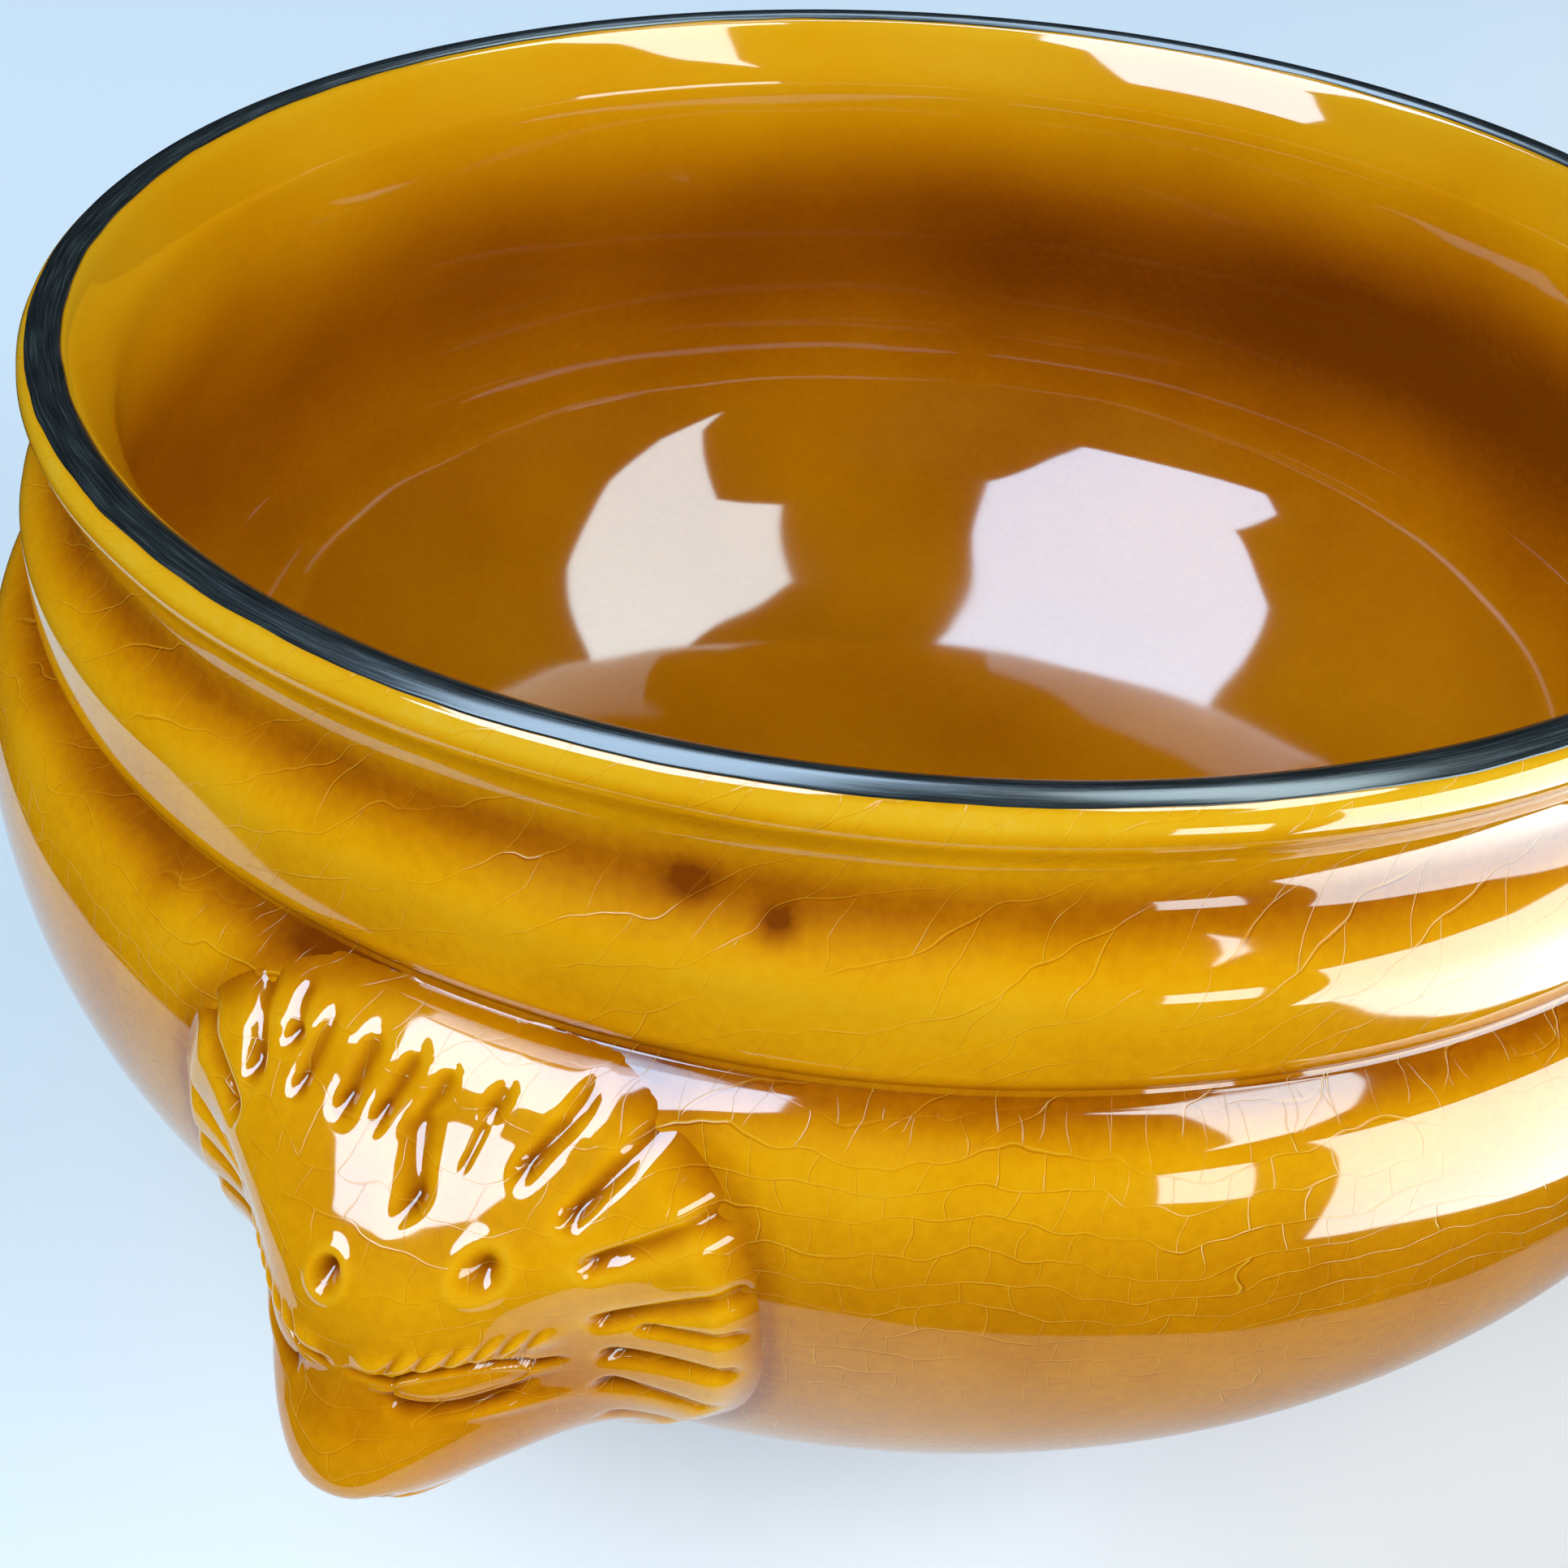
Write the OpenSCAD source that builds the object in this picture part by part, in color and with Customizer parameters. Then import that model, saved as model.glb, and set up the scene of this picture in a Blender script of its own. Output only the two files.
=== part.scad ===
// Earthenware onion soup crock with two lion's heads for handles.
// The origin lies on the axis, on the surface the foot stands on; the heads look along X.

/* [Vessel] */
// Height from the table to the top of the lip
total_h = 75; // [66:1:90]
// Outer diameter of the lip
rim_d = 131.6; // [118:0.2:150]
// Thickness of the rounded lip
lip_t = 4; // [3.6:0.1:5]
// Thickness of the wall at the belly, glaze included
wall_t = 4.2; // [3.6:0.1:5]
// Thickness of the floor, glaze included
floor_t = 5; // [4:0.1:7]
// Diameter of the flat middle of the floor, which the inside rounds up from
floor_d = 30; // [20:1:44]

/* [Mouldings] */
// How far the neck lies inside the lip's edge
neck_in = 2.4; // [1.6:0.1:3]
// Neck below the top of the lip
neck_drop = 6.6; // [5.6:0.1:7.6]
// How far the bead stands outside the lip's edge
bead_out = 1.1; // [0.6:0.1:2]
// Crown of the bead below the top of the lip
bead_drop = 12.7; // [11.4:0.1:14]
// Groove under the bead, below the top of the lip
groove_drop = 19.6; // [18:0.1:21]
// Depth of the groove
groove_t = 0.9; // [0.5:0.1:1.3]
// Half width of the groove
groove_w = 1.1; // [0.8:0.1:1.6]
// How far the belly stands outside the lip's edge
belly_out = 5.4; // [4:0.1:8]
// Widest place of the belly below the top of the lip
belly_drop = 29.9; // [27:0.1:32]
// How far the throat stands inside the lip's inner edge
throat_in = 1.8; // [1:0.1:2.6]
// Widest place of the inside below the top of the lip
well_drop = 32.4; // [30:0.1:35]

/* [Foot] */
// Height of the foot ring
foot_h = 8; // [6:0.1:10]
// Outer diameter of the foot ring where it stands
foot_d = 70; // [62:1:76]
// Width of the foot ring
foot_w = 4.4; // [3.6:0.1:6]
// How far the foot ring draws in towards the bowl
foot_draw = 1.2; // [0.4:0.1:2]
// Rounding of the edge that the foot stands on
foot_round = 1; // [0.5:0.1:1.4]

/* [Glaze] */
// Thickness of the glaze
glaze_t = 0.45; // [0.3:0.05:0.6]
// Thickness of the dark rim band
band_t = 0.45; // [0.3:0.05:0.6]
// Clearance between a glaze layer and the clay under it or the band beside it
glaze_gap = 0.05; // [0.03:0.01:0.08]

/* [Lion's heads] */
// Width of a head across its mane
head_w = 39.2; // [34:0.2:42]
// Height of a head from its mane to its chin
head_h = 34.6; // [31:0.2:37]
// Top of the mane below the top of the lip
head_drop = 19.5; // [18:0.1:22]
// Thickness of the mane over the wall
mane_t = 2.2; // [1.6:0.1:3]
// How far the muzzle stands out from the mane
muzzle_out = 12.4; // [9:0.1:14]
// Depth of the grooves between the locks of the mane
lock_t = 1.1; // [0.6:0.1:1.4]
// Length of an eye
eye_l = 6.4; // [5:0.1:8]
// Height of an eye
eye_h = 2; // [1.6:0.1:2.6]
// How far an eye stands out of its socket
eye_out = 0.9; // [0.5:0.1:1.2]
// Diameter of the dimples pressed into the forehead
dimple_d = 2.8; // [2:0.1:3.4]
// Depth of the dimples
dimple_t = 0.7; // [0.4:0.1:1]
// Clearance of a head from the wall that it is luted to
luting_t = 0.15; // [0.1:0.05:0.3]

/* [Hidden] */
$fn = 96;

// Radii and heights worked out from the sizes above
rim_r = rim_d / 2;
lip_r = lip_t / 2;
lip_z = total_h - lip_r;
lip_c = rim_r - lip_r;
neck_z = total_h - neck_drop;
bead_z = total_h - bead_drop;
groove_z = total_h - groove_drop;
belly_z = total_h - belly_drop;
foot_r = foot_d / 2;
belly_r = rim_r + belly_out;
bead_r = rim_r + bead_out;
neck_r = rim_r - neck_in;
// The groove cuts the meeting line of bead and belly, which lies a little inside the bead
joint_r = bead_r - groove_t / 4;
// The underside is flat inside this radius, which is the foot ring's own top edge
base_r = foot_r - foot_draw;
// The inner wall: throat at the neck, widest place level with the belly, floor with a flat middle
throat_r = rim_r - lip_t - throat_in;
well_r = belly_r - wall_t;
well_z = total_h - well_drop;
floor_z = foot_h + floor_t;
floor_r = floor_d / 2;
// Angles on the round lip, from straight outwards: its lower outer end, the rim band and its lower inner end
lip_low_a = -40;
band_out_a = 52;
band_in_a = 125;
lip_in_a = 205;
// One overrun for every cut
cut = 1;
// Points along one curved stretch of a profile
STEPS = 14;
// The inner wall leaves the throat slowly, which keeps the wall thick at the groove
WELL_POWER = 1.3;

function ease(t) = (1 - cos(180 * t)) / 2;
function clamp(t) = max(0, min(1, t));
function bell(x) = exp(-x * x);
function rise(t) = clamp(t) * clamp(t) * (3 - 2 * clamp(t));
// Quarter of an ellipse: 1 where the stretch is widest, 0 at its end
function swell(t) = sqrt(1 - clamp(t) * clamp(t));

// A smooth curve through a table of [place, value] shares: each slope follows the two neighbours
function knot(x, table) = max([for (i = [0:len(table) - 2]) if (i == 0 || x >= table[i][0]) i]);
function slope(i, table) =
    let (a = max(i - 1, 0), b = min(i + 1, len(table) - 1))
    (table[b][1] - table[a][1]) / (table[b][0] - table[a][0]);
function through(x, table) =
    let (
        i = knot(x, table),
        gap = table[i + 1][0] - table[i][0],
        t = clamp((x - table[i][0]) / gap),
        m0 = slope(i, table) * gap,
        m1 = slope(i + 1, table) * gap,
        rest = 1 - t
    )
    table[i][1] * (1 + 2 * t) * rest * rest + m0 * t * rest * rest
        + table[i + 1][1] * t * t * (3 - 2 * t) - m1 * t * t * rest;

// Outer radius of the glazed bowl at height z, from the underside to the lip's lower outer end
lip_low_r = lip_c + lip_r * cos(lip_low_a);
lip_low_z = lip_z + lip_r * sin(lip_low_a);
function under_lip_r(z) = neck_r + (lip_low_r - neck_r) * pow(clamp((z - neck_z) / (lip_low_z - neck_z)), 2);
function cove_r(z) = neck_r + (bead_r - neck_r) * ease((neck_z - z) / (neck_z - bead_z));
function bead_wall_r(z) = joint_r + (bead_r - joint_r) * swell((bead_z - z) / (bead_z - groove_z));
function shoulder_r(z) = joint_r + (belly_r - joint_r) * swell((z - belly_z) / (groove_z - belly_z));
function belly_wall_r(z) = base_r + (belly_r - base_r) * swell((belly_z - z) / (belly_z - foot_h));
function plain_r(z) =
    z > neck_z ? under_lip_r(z)
    : z > bead_z ? cove_r(z)
    : z > groove_z ? bead_wall_r(z)
    : z > belly_z ? shoulder_r(z)
    : belly_wall_r(z);
function wall_r(z) = plain_r(z) - groove_t * bell((z - groove_z) / groove_w);

// Inner radius of the glazed bowl at height z, from the floor to the lip's lower inner end
lip_in_r = lip_c + lip_r * cos(lip_in_a);
lip_in_z = lip_z + lip_r * sin(lip_in_a);
function inner_r(z) =
    z > neck_z ? throat_r + (lip_in_r - throat_r) * ease((z - neck_z) / (lip_in_z - neck_z))
    : z > well_z ? throat_r + (well_r - throat_r) * ease(pow((neck_z - z) / (neck_z - well_z), WELL_POWER))
    : floor_r + (well_r - floor_r) * swell((well_z - z) / (well_z - floor_z));

// Heights of the profile's points, from the bottom up. Near the flat bottoms they crowd together.
function crowd(low, high) = [for (i = [0:STEPS]) low + (high - low) * (1 - cos(90 * i / STEPS))];
function spread(low, high) = [for (i = [1:STEPS]) low + (high - low) * i / STEPS];
outer_zs = concat(crowd(foot_h, belly_z), spread(belly_z, groove_z), spread(groove_z, bead_z),
    spread(bead_z, neck_z), spread(neck_z, lip_low_z));
inner_zs = concat(crowd(floor_z, well_z), spread(well_z, neck_z), spread(neck_z, lip_in_z));
function backwards(list) = [for (i = [len(list) - 1:-1:0]) list[i]];

// The glazed surfaces moved inwards by a depth, as profile points [radius, height].
// A slope of the wall turns the move, so that the layer keeps its thickness.
function outer_slope(z, d) = (wall_r(z + d) - wall_r(z - d)) / (2 * d);
function inner_slope(z, d) = (inner_r(z + d) - inner_r(z - d)) / (2 * d);
probe = glaze_t / 4;
function outer_at(z, depth) =
    let (s = z < foot_h + probe || z > lip_low_z - probe ? 0 : outer_slope(z, probe), n = sqrt(1 + s * s))
    z < foot_h + probe ? [base_r, foot_h + depth] : [wall_r(z) - depth / n, z + depth * s / n];
function inner_at(z, depth) =
    let (s = z < floor_z + probe || z > lip_in_z - probe ? 0 : inner_slope(z, probe), n = sqrt(1 + s * s))
    z < floor_z + probe ? [floor_r, floor_z - depth] : [inner_r(z) + depth / n, z - depth * s / n];
function outer_side(depth) = [for (z = outer_zs) outer_at(z, depth)];
function inner_side(depth) = [for (z = inner_zs) inner_at(z, depth)];
function lip_arc(from, to, r) =
    [for (i = [0:STEPS]) let (a = from + (to - from) * i / STEPS) [lip_c + r * cos(a), lip_z + r * sin(a)]];

// Cast clay body: one turned wall from the flat underside over the lip and down to the floor
skin = glaze_t + glaze_gap;
module bowl_body() {
    color("#d9c7a6")
    rotate_extrude()
    polygon(concat(
        [[0, foot_h], [base_r - glaze_gap, foot_h], [base_r - glaze_gap, foot_h + skin]],
        outer_side(skin),
        lip_arc(lip_low_a, lip_in_a, lip_r - skin),
        backwards(inner_side(skin)),
        [[0, floor_z - skin]]
    ));
}

// Turned foot ring, flush under the flat underside, with a rounded edge to stand on
module foot_ring() {
    stand_out = foot_r - foot_round;
    stand_in = foot_r - foot_w + foot_round;
    top_in = base_r - foot_w + foot_draw / 2;
    color("#b98a2a")
    rotate_extrude()
    polygon(concat(
        [[top_in, foot_h], [foot_r - foot_w, foot_round]],
        [for (i = [1:STEPS]) let (a = 180 + 90 * i / STEPS)
            [stand_in + foot_round * cos(a), foot_round + foot_round * sin(a)]],
        [for (i = [0:STEPS]) let (a = 270 + 90 * i / STEPS)
            [stand_out + foot_round * cos(a), foot_round + foot_round * sin(a)]],
        [for (i = [1:STEPS]) let (t = i / STEPS)
            [foot_r - foot_draw * ease(t), foot_round + (foot_h - foot_round) * t]]
    ));
}

// Amber glaze outside, from the foot ring up to the rim band, open behind each head
module glaze_coat() {
    color("#c98a12")
    difference() {
        rotate_extrude()
        polygon(concat(
            outer_side(0),
            lip_arc(lip_low_a, band_out_a, lip_r),
            lip_arc(band_out_a, lip_low_a, lip_r - glaze_t),
            backwards(outer_side(glaze_t))
        ));
        for (side = [0, 180])
            rotate([0, 0, side])
            rotate([90, 0, 90])
            linear_extrude(height = belly_r + cut)
            polygon([for (a = spokes) foot_print(a, 1 + luting_t / print_size(a))]);
    }
}

// Amber glaze inside, from the rim band down over the floor
module glaze_lining() {
    color("#a86c08")
    rotate_extrude()
    polygon(concat(
        [[0, floor_z - glaze_t]],
        inner_side(glaze_t),
        lip_arc(lip_in_a, band_in_a, lip_r - glaze_t),
        lip_arc(band_in_a, lip_in_a, lip_r),
        backwards(inner_side(0)),
        [[0, floor_z]]
    ));
}

// Dark band painted over the top of the lip, clear of the two glazes by the glaze clearance
band_gap_a = asin(glaze_gap / lip_r);
module rim_band() {
    low = band_out_a + band_gap_a;
    high = band_in_a - band_gap_a;
    color("#24323d")
    rotate_extrude()
    polygon(concat(lip_arc(low, high, lip_r), lip_arc(high, low, lip_r - band_t)));
}

// A lion's head is one surface over its print on the wall. The print is round and is walked
// by spokes (angle a from the right, seen from outside) and rings (share t from middle to edge).
// Share of the head's height from its top to the middle that the locks run out from
middle_share = 0.49;
middle_z = total_h - head_drop - middle_share * head_h;
print_top = middle_share * head_h;
print_low = (1 - middle_share) * head_h;
print_side = head_w / 2;
TOP_POWER = 3;
LOW_POWER = 2;
// The locks fan from the lower left over the top to the lower right
LOCKS = 17;
fan_low_a = -22;
fan_high_a = 202;
SPOKES_PER_LOCK = 4;
CHIN_SPOKES = 26;
RINGS = 22;
BACK_RINGS = 6;
lock_pitch = (fan_high_a - fan_low_a) / LOCKS;
spokes = concat(
    [for (i = [0:LOCKS * SPOKES_PER_LOCK - 1]) fan_low_a + lock_pitch * i / SPOKES_PER_LOCK],
    [for (i = [0:CHIN_SPOKES - 1]) fan_high_a + (360 + fan_low_a - fan_high_a) * i / CHIN_SPOKES]
);
function print_size(a) =
    let (p = sin(a) > 0 ? TOP_POWER : LOW_POWER, h = sin(a) > 0 ? print_top : print_low)
    pow(pow(abs(cos(a)) / print_side, p) + pow(abs(sin(a)) / h, p), -1 / p);
function foot_print(a, t) = [t * print_size(a) * cos(a), middle_z + t * print_size(a) * sin(a)];

// Reach of the snout down the head: [share of the height from the top, share of muzzle_out]
snout_shares = [[0, 0], [0.2, 0.02], [0.32, 0.1], [0.4, 0.26], [0.47, 0.48], [0.54, 0.74], [0.61, 0.92],
    [0.69, 1], [0.76, 0.93], [0.81, 0.82], [0.85, 0.85], [0.91, 0.8], [0.96, 0.5], [1, 0]];
// Half width of the snout: [share of the height from the top, share of the print's half width]
snout_width_shares = [[0, 0.68], [0.22, 0.63], [0.35, 0.57], [0.47, 0.51], [0.56, 0.48], [0.66, 0.46],
    [0.73, 0.42], [0.82, 0.33], [0.91, 0.24], [1, 0.17]];
// How square the snout is across, and how squarely the mane ends
SNOUT_POWER = 2.6;
MANE_POWER = 6;
// Places on the face, as shares of the print's half width and of the head's height from the top
eye_shares = [0.3, 0.51];
brow_shares = [0.32, 0.455];
dimple_shares = [[0.3, 0.33], [-0.19, 0.4]];
// Socket round an eye: its depth and the brow's height as shares of eye_out, and its place and
// width as shares of the eye's own half size
socket_depth_share = 0.6;
brow_height_share = 0.5;
socket_place_share = 1.3;
socket_width_share = 0.33;
brow_width_share = 0.6;
dimple_width_share = 0.75;
// Locks: where their grooves begin and how fast the ends fade, as shares of the way out
lock_start_share = 0.56;
lock_fade_share = 0.1;
LOCK_POWER = 1.6;
// The face's own marks fade out over this share of the way, just inside the edge
mark_fade_share = 0.2;

function snout(x, v) =
    let (w = print_side * through(v, snout_width_shares))
    muzzle_out * max(0, through(v, snout_shares)) * exp(-pow(abs(x) / w, SNOUT_POWER));
function mane(t) = mane_t * pow(1 - pow(t, MANE_POWER), MANE_POWER / 10);
function lock_groove(a, t) =
    let (
        turn = (a - fan_low_a) / lock_pitch,
        fan = rise(turn + 1) * rise(LOCKS - turn + 1),
        across = pow(1 - ease(2 * turn), LOCK_POWER),
        along = rise((t - lock_start_share) / lock_fade_share) * rise((1 - t) / lock_fade_share)
    )
    lock_t * fan * across * along;
function eye(x, v) =
    let (
        dx = (abs(x) - eye_shares[0] * print_side) / (eye_l / 2),
        dz = (v - eye_shares[1]) * head_h / (eye_h / 2),
        d = norm([dx, dz])
    )
    eye_out * (max(0, 1 - d * d) - socket_depth_share * bell((d - socket_place_share) / socket_width_share));
function brow(x, v) =
    let (
        dx = (abs(x) - brow_shares[0] * print_side) / (eye_l / 2),
        dz = (v - brow_shares[1]) * head_h / (eye_h * brow_width_share)
    )
    eye_out * brow_height_share * bell(norm([dx, dz]));
function dimples(x, v) =
    dimple_t * max([for (p = dimple_shares)
        bell(norm([x - p[0] * print_side, (v - p[1]) * head_h]) / (dimple_d / 2 * dimple_width_share))]);

// The relief rises from a thin edge, so that it meets the wall without a step
edge_t = luting_t + glaze_t;
function relief(a, t) =
    let (
        p = foot_print(a, t),
        x = p[0],
        v = (total_h - head_drop - p[1]) / head_h,
        inside = rise((1 - t) / mark_fade_share)
    )
    edge_t + mane(t) + snout(x, v) * (1 - pow(t, 2 * MANE_POWER)) - lock_groove(a, t)
        + (eye(x, v) + brow(x, v) - dimples(x, v)) * inside;
function face_point(a, t) =
    let (p = foot_print(a, t), r = wall_r(p[1]))
    [sqrt(r * r - p[0] * p[0]) + relief(a, t), p[0], p[1]];
function back_point(a, t) =
    let (p = foot_print(a, t), r = wall_r(p[1]) - skin + luting_t)
    [sqrt(r * r - p[0] * p[0]), p[0], p[1]];

// Rings of the face from its middle outwards, then rings of the back from its edge inwards
module lion_head() {
    n = len(spokes);
    rings = RINGS + BACK_RINGS;
    points = concat(
        [face_point(0, 0)],
        [for (k = [1:RINGS], a = spokes) face_point(a, k / RINGS)],
        [for (k = [BACK_RINGS:-1:1], a = spokes) back_point(a, k / BACK_RINGS)],
        [back_point(0, 0)]
    );
    last = len(points) - 1;
    faces = concat(
        [for (i = [0:n - 1]) [0, 1 + (i + 1) % n, 1 + i]],
        [for (k = [0:rings - 2], i = [0:n - 1])
            let (p = 1 + k * n + i, q = 1 + k * n + (i + 1) % n) each [[p, q, q + n], [p, q + n, p + n]]],
        [for (i = [0:n - 1]) [last, last - n + i, last - n + (i + 1) % n]]
    );
    color("#c98a12")
    polyhedron(points, faces);
}

module lion_head_right() {
    lion_head();
}

module lion_head_left() {
    rotate([0, 0, 180])
    lion_head();
}

bowl_body();
foot_ring();
glaze_coat();
glaze_lining();
rim_band();
lion_head_left();
lion_head_right();
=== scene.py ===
# %% [markdown]
# # An amber soup crock with lion's heads
#
# This lesson dresses one glazed earthenware crock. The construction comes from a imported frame: a
# turned clay body, a foot ring, two glaze layers, a dark band round the lip and two lion's heads.
# Here those pieces get their finish: a glossy amber glaze that runs thin on edges and pools in
# hollows, a net of fine cracks in it, and the full carving of the heads.
#
# The frame is loaded first, because every new piece takes its place from it.

# %% Load the frame
import math

import bpy
import numpy as np
from mathutils import Matrix, Vector


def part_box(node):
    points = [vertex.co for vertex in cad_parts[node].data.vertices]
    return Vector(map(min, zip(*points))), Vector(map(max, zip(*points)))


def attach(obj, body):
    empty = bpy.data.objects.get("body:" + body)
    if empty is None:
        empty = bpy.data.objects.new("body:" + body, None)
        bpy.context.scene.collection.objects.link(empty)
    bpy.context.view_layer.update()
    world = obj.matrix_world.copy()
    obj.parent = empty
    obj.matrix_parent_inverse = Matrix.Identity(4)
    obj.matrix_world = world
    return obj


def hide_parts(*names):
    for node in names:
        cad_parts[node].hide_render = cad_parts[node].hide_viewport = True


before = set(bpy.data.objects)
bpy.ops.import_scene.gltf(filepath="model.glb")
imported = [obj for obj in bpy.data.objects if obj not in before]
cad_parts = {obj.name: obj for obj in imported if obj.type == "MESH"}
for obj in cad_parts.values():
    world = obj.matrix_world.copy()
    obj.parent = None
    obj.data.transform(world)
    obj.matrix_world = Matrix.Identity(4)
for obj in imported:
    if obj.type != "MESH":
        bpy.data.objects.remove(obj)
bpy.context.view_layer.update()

MM = 0.001

# %% [markdown]
# ## Sizes
#
# A thrown or jiggered pot is all radii and heights, so those are the only sizes. The ones that the
# frame can give are read from the boxes of its nodes, and the rest are named here in millimetres,
# as drops from the lip and steps in or out from it. That keeps the surfaces on the solids if the
# pot is ever made taller or wider.

# %% Sizes read from the frame, in millimetres
glaze_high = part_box("glaze_coat")[1]
band_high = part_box("rim_band")[1]
foot_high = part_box("foot_ring")[1]
head_low, head_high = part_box("lion_head_right")
TOTAL_H = band_high.z / MM
BELLY_R = glaze_high.y / MM
FOOT_H, FOOT_R = foot_high.z / MM, foot_high.y / MM
RIM_R, LIP_R = 65.8, 2.0
LIP_C, LIP_Z = RIM_R - LIP_R, TOTAL_H - LIP_R
WALL_T, FLOOR_T, GLAZE_T = 4.2, 5.0, 0.45
FLOOR_Z, FLOOR_FLAT_R = FOOT_H + FLOOR_T, 15.0
print("height", round(TOTAL_H, 2), "belly", round(BELLY_R, 2), "foot", round(FOOT_R, 2), round(FOOT_H, 2))

# %% Mouldings, as heights, radii and angles on the lip
NECK_Z, NECK_R, NECK_LEAN = TOTAL_H - 7.3, RIM_R - 2.05, 0.06
BEAD_Z, BEAD_R = TOTAL_H - 12.7, RIM_R + 1.1
GROOVE_Z, GROOVE_T, GROOVE_W = TOTAL_H - 19.6, 0.9, 1.1
BELLY_Z = TOTAL_H - 29.9
JOINT_R = BEAD_R - GROOVE_T / 4
FOOT_DRAW = 1.2
BASE_R = FOOT_R - FOOT_DRAW
THROAT_Z, THROAT_R, THROAT_POWER = TOTAL_H - 5.8, RIM_R - 2 * LIP_R - 2.2, 1.4
WELL_Z, WELL_R, WELL_POWER = TOTAL_H - 32.4, BELLY_R - WALL_T, 1.3
LIP_LOW_A, BAND_OUT_A, BAND_IN_A, LIP_IN_A = -40.0, 52.0, 125.0, 140.0
BAND_LAP_A = 6.0
print("neck", NECK_R, "bead", BEAD_R, "throat", THROAT_R, "well", round(WELL_R, 2))

# %% [markdown]
# ## The camera
#
# The picture is a close view from above the left head: the lens looks 24 degrees off the line
# through the heads and 35 degrees down, and it is held a little crooked. The camera is built from
# these three angles and a place, and not aimed at a point, so the crooked horizon stays exact.

# %% Camera
CAMERA_PLACE = Vector((-156.82, -59.02, 146.47)) * MM
HEADING, TILT, ROLL = math.radians(24.0), math.radians(34.89), math.radians(3.23)
LENS = 55.9


def make_camera():
    """Its axes: forward from heading and tilt, right level and then rolled, up square to both."""
    flat = Vector((math.cos(HEADING), math.sin(HEADING), 0))
    forward = flat * math.cos(TILT) - Vector((0, 0, math.sin(TILT)))
    level = Vector((math.sin(HEADING), -math.cos(HEADING), 0))
    up = level.cross(forward)
    right = level * math.cos(ROLL) + up * math.sin(ROLL)
    up = right.cross(forward)
    camera = bpy.data.objects.new("camera", bpy.data.cameras.new("camera"))
    bpy.context.scene.collection.objects.link(camera)
    turn = Matrix((right, up, -forward)).transposed()
    camera.matrix_world = Matrix.Translation(CAMERA_PLACE) @ turn.to_4x4()
    camera.data.lens = LENS
    camera.data.sensor_width = 36.0
    camera.data.clip_start = 0.005
    bpy.context.scene.camera = camera
    return camera


camera = make_camera()
view_way = camera.matrix_world.to_quaternion() @ Vector((0, 0, -1))
print("camera looks along", [round(v, 3) for v in view_way])

# %% [markdown]
# ## Profile rules
#
# A turned wall is one curve, radius against height. Each stretch is a piece of an ellipse or a
# cosine, which is how a profile tool cuts it: neck, bead, groove and belly meet without a kink.
# The rules take whole arrays, so a thousand heights cost one call.

# %% Small curves
def ease(t):
    """Half a cosine wave: 0 at 0, 1 at 1, level at both ends."""
    return (1 - np.cos(np.pi * np.clip(t, 0, 1))) / 2


def swell(t):
    """A quarter of an ellipse: 1 at 0 and 0 at 1."""
    return np.sqrt(1 - np.clip(t, 0, 1) ** 2)


def rise(t):
    """A smooth step from 0 to 1: three times t squared less twice t cubed."""
    t = np.clip(t, 0, 1)
    return t * t * (3 - 2 * t)


def bell(x):
    """A bell: e to the power of minus x squared."""
    return np.exp(-np.square(x))


# %% Outer and inner wall
LIP_LOW_R = LIP_C + LIP_R * math.cos(math.radians(LIP_LOW_A))
LIP_LOW_Z = LIP_Z + LIP_R * math.sin(math.radians(LIP_LOW_A))
LIP_IN_R = LIP_C + LIP_R * math.cos(math.radians(LIP_IN_A))
LIP_IN_Z = LIP_Z + LIP_R * math.sin(math.radians(LIP_IN_A))


def wall_r(z):
    """Outer radius at height z: belly and bead are quarter ellipses, the neck a cosine, less the
    groove's bell. From the neck up to the lip it leans out a little and then flares."""
    z = np.asarray(z, float)
    climb = LIP_LOW_Z - NECK_Z
    lean = NECK_R + NECK_LEAN * np.clip(z - NECK_Z, 0, climb)
    flare = LIP_LOW_R - NECK_R - NECK_LEAN * climb
    under_lip = lean + flare * np.clip((z - NECK_Z) / climb, 0, 1) ** 4
    cove = NECK_R + (BEAD_R - NECK_R) * ease((NECK_Z - z) / (NECK_Z - BEAD_Z))
    bead = JOINT_R + (BEAD_R - JOINT_R) * swell((BEAD_Z - z) / (BEAD_Z - GROOVE_Z))
    shoulder = JOINT_R + (BELLY_R - JOINT_R) * swell((z - BELLY_Z) / (GROOVE_Z - BELLY_Z))
    belly = BASE_R + (BELLY_R - BASE_R) * swell((BELLY_Z - z) / (BELLY_Z - FOOT_H))
    above = [z > NECK_Z, z > BEAD_Z, z > GROOVE_Z, z > BELLY_Z]
    plain = np.select(above, [under_lip, cove, bead, shoulder], belly)
    return plain - GROOVE_T * bell((z - GROOVE_Z) / GROOVE_W)


def inner_r(z):
    """Inner radius at height z: a flared throat, a wide well, and a quarter ellipse to the flat middle."""
    z = np.asarray(z, float)
    climb = np.clip((z - THROAT_Z) / (LIP_IN_Z - THROAT_Z), 0, 1)
    throat = THROAT_R + (LIP_IN_R - THROAT_R) * climb**THROAT_POWER
    fall = np.clip((THROAT_Z - z) / (THROAT_Z - WELL_Z), 0, 1) ** WELL_POWER
    well = THROAT_R + (WELL_R - THROAT_R) * ease(fall)
    bowl = FLOOR_FLAT_R + (WELL_R - FLOOR_FLAT_R) * swell((WELL_Z - z) / (WELL_Z - FLOOR_Z))
    return np.select([z > THROAT_Z, z > WELL_Z], [throat, well], bowl)


print("outer radius at neck, bead and belly:", wall_r([NECK_Z, BEAD_Z, BELLY_Z]).round(2))


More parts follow.
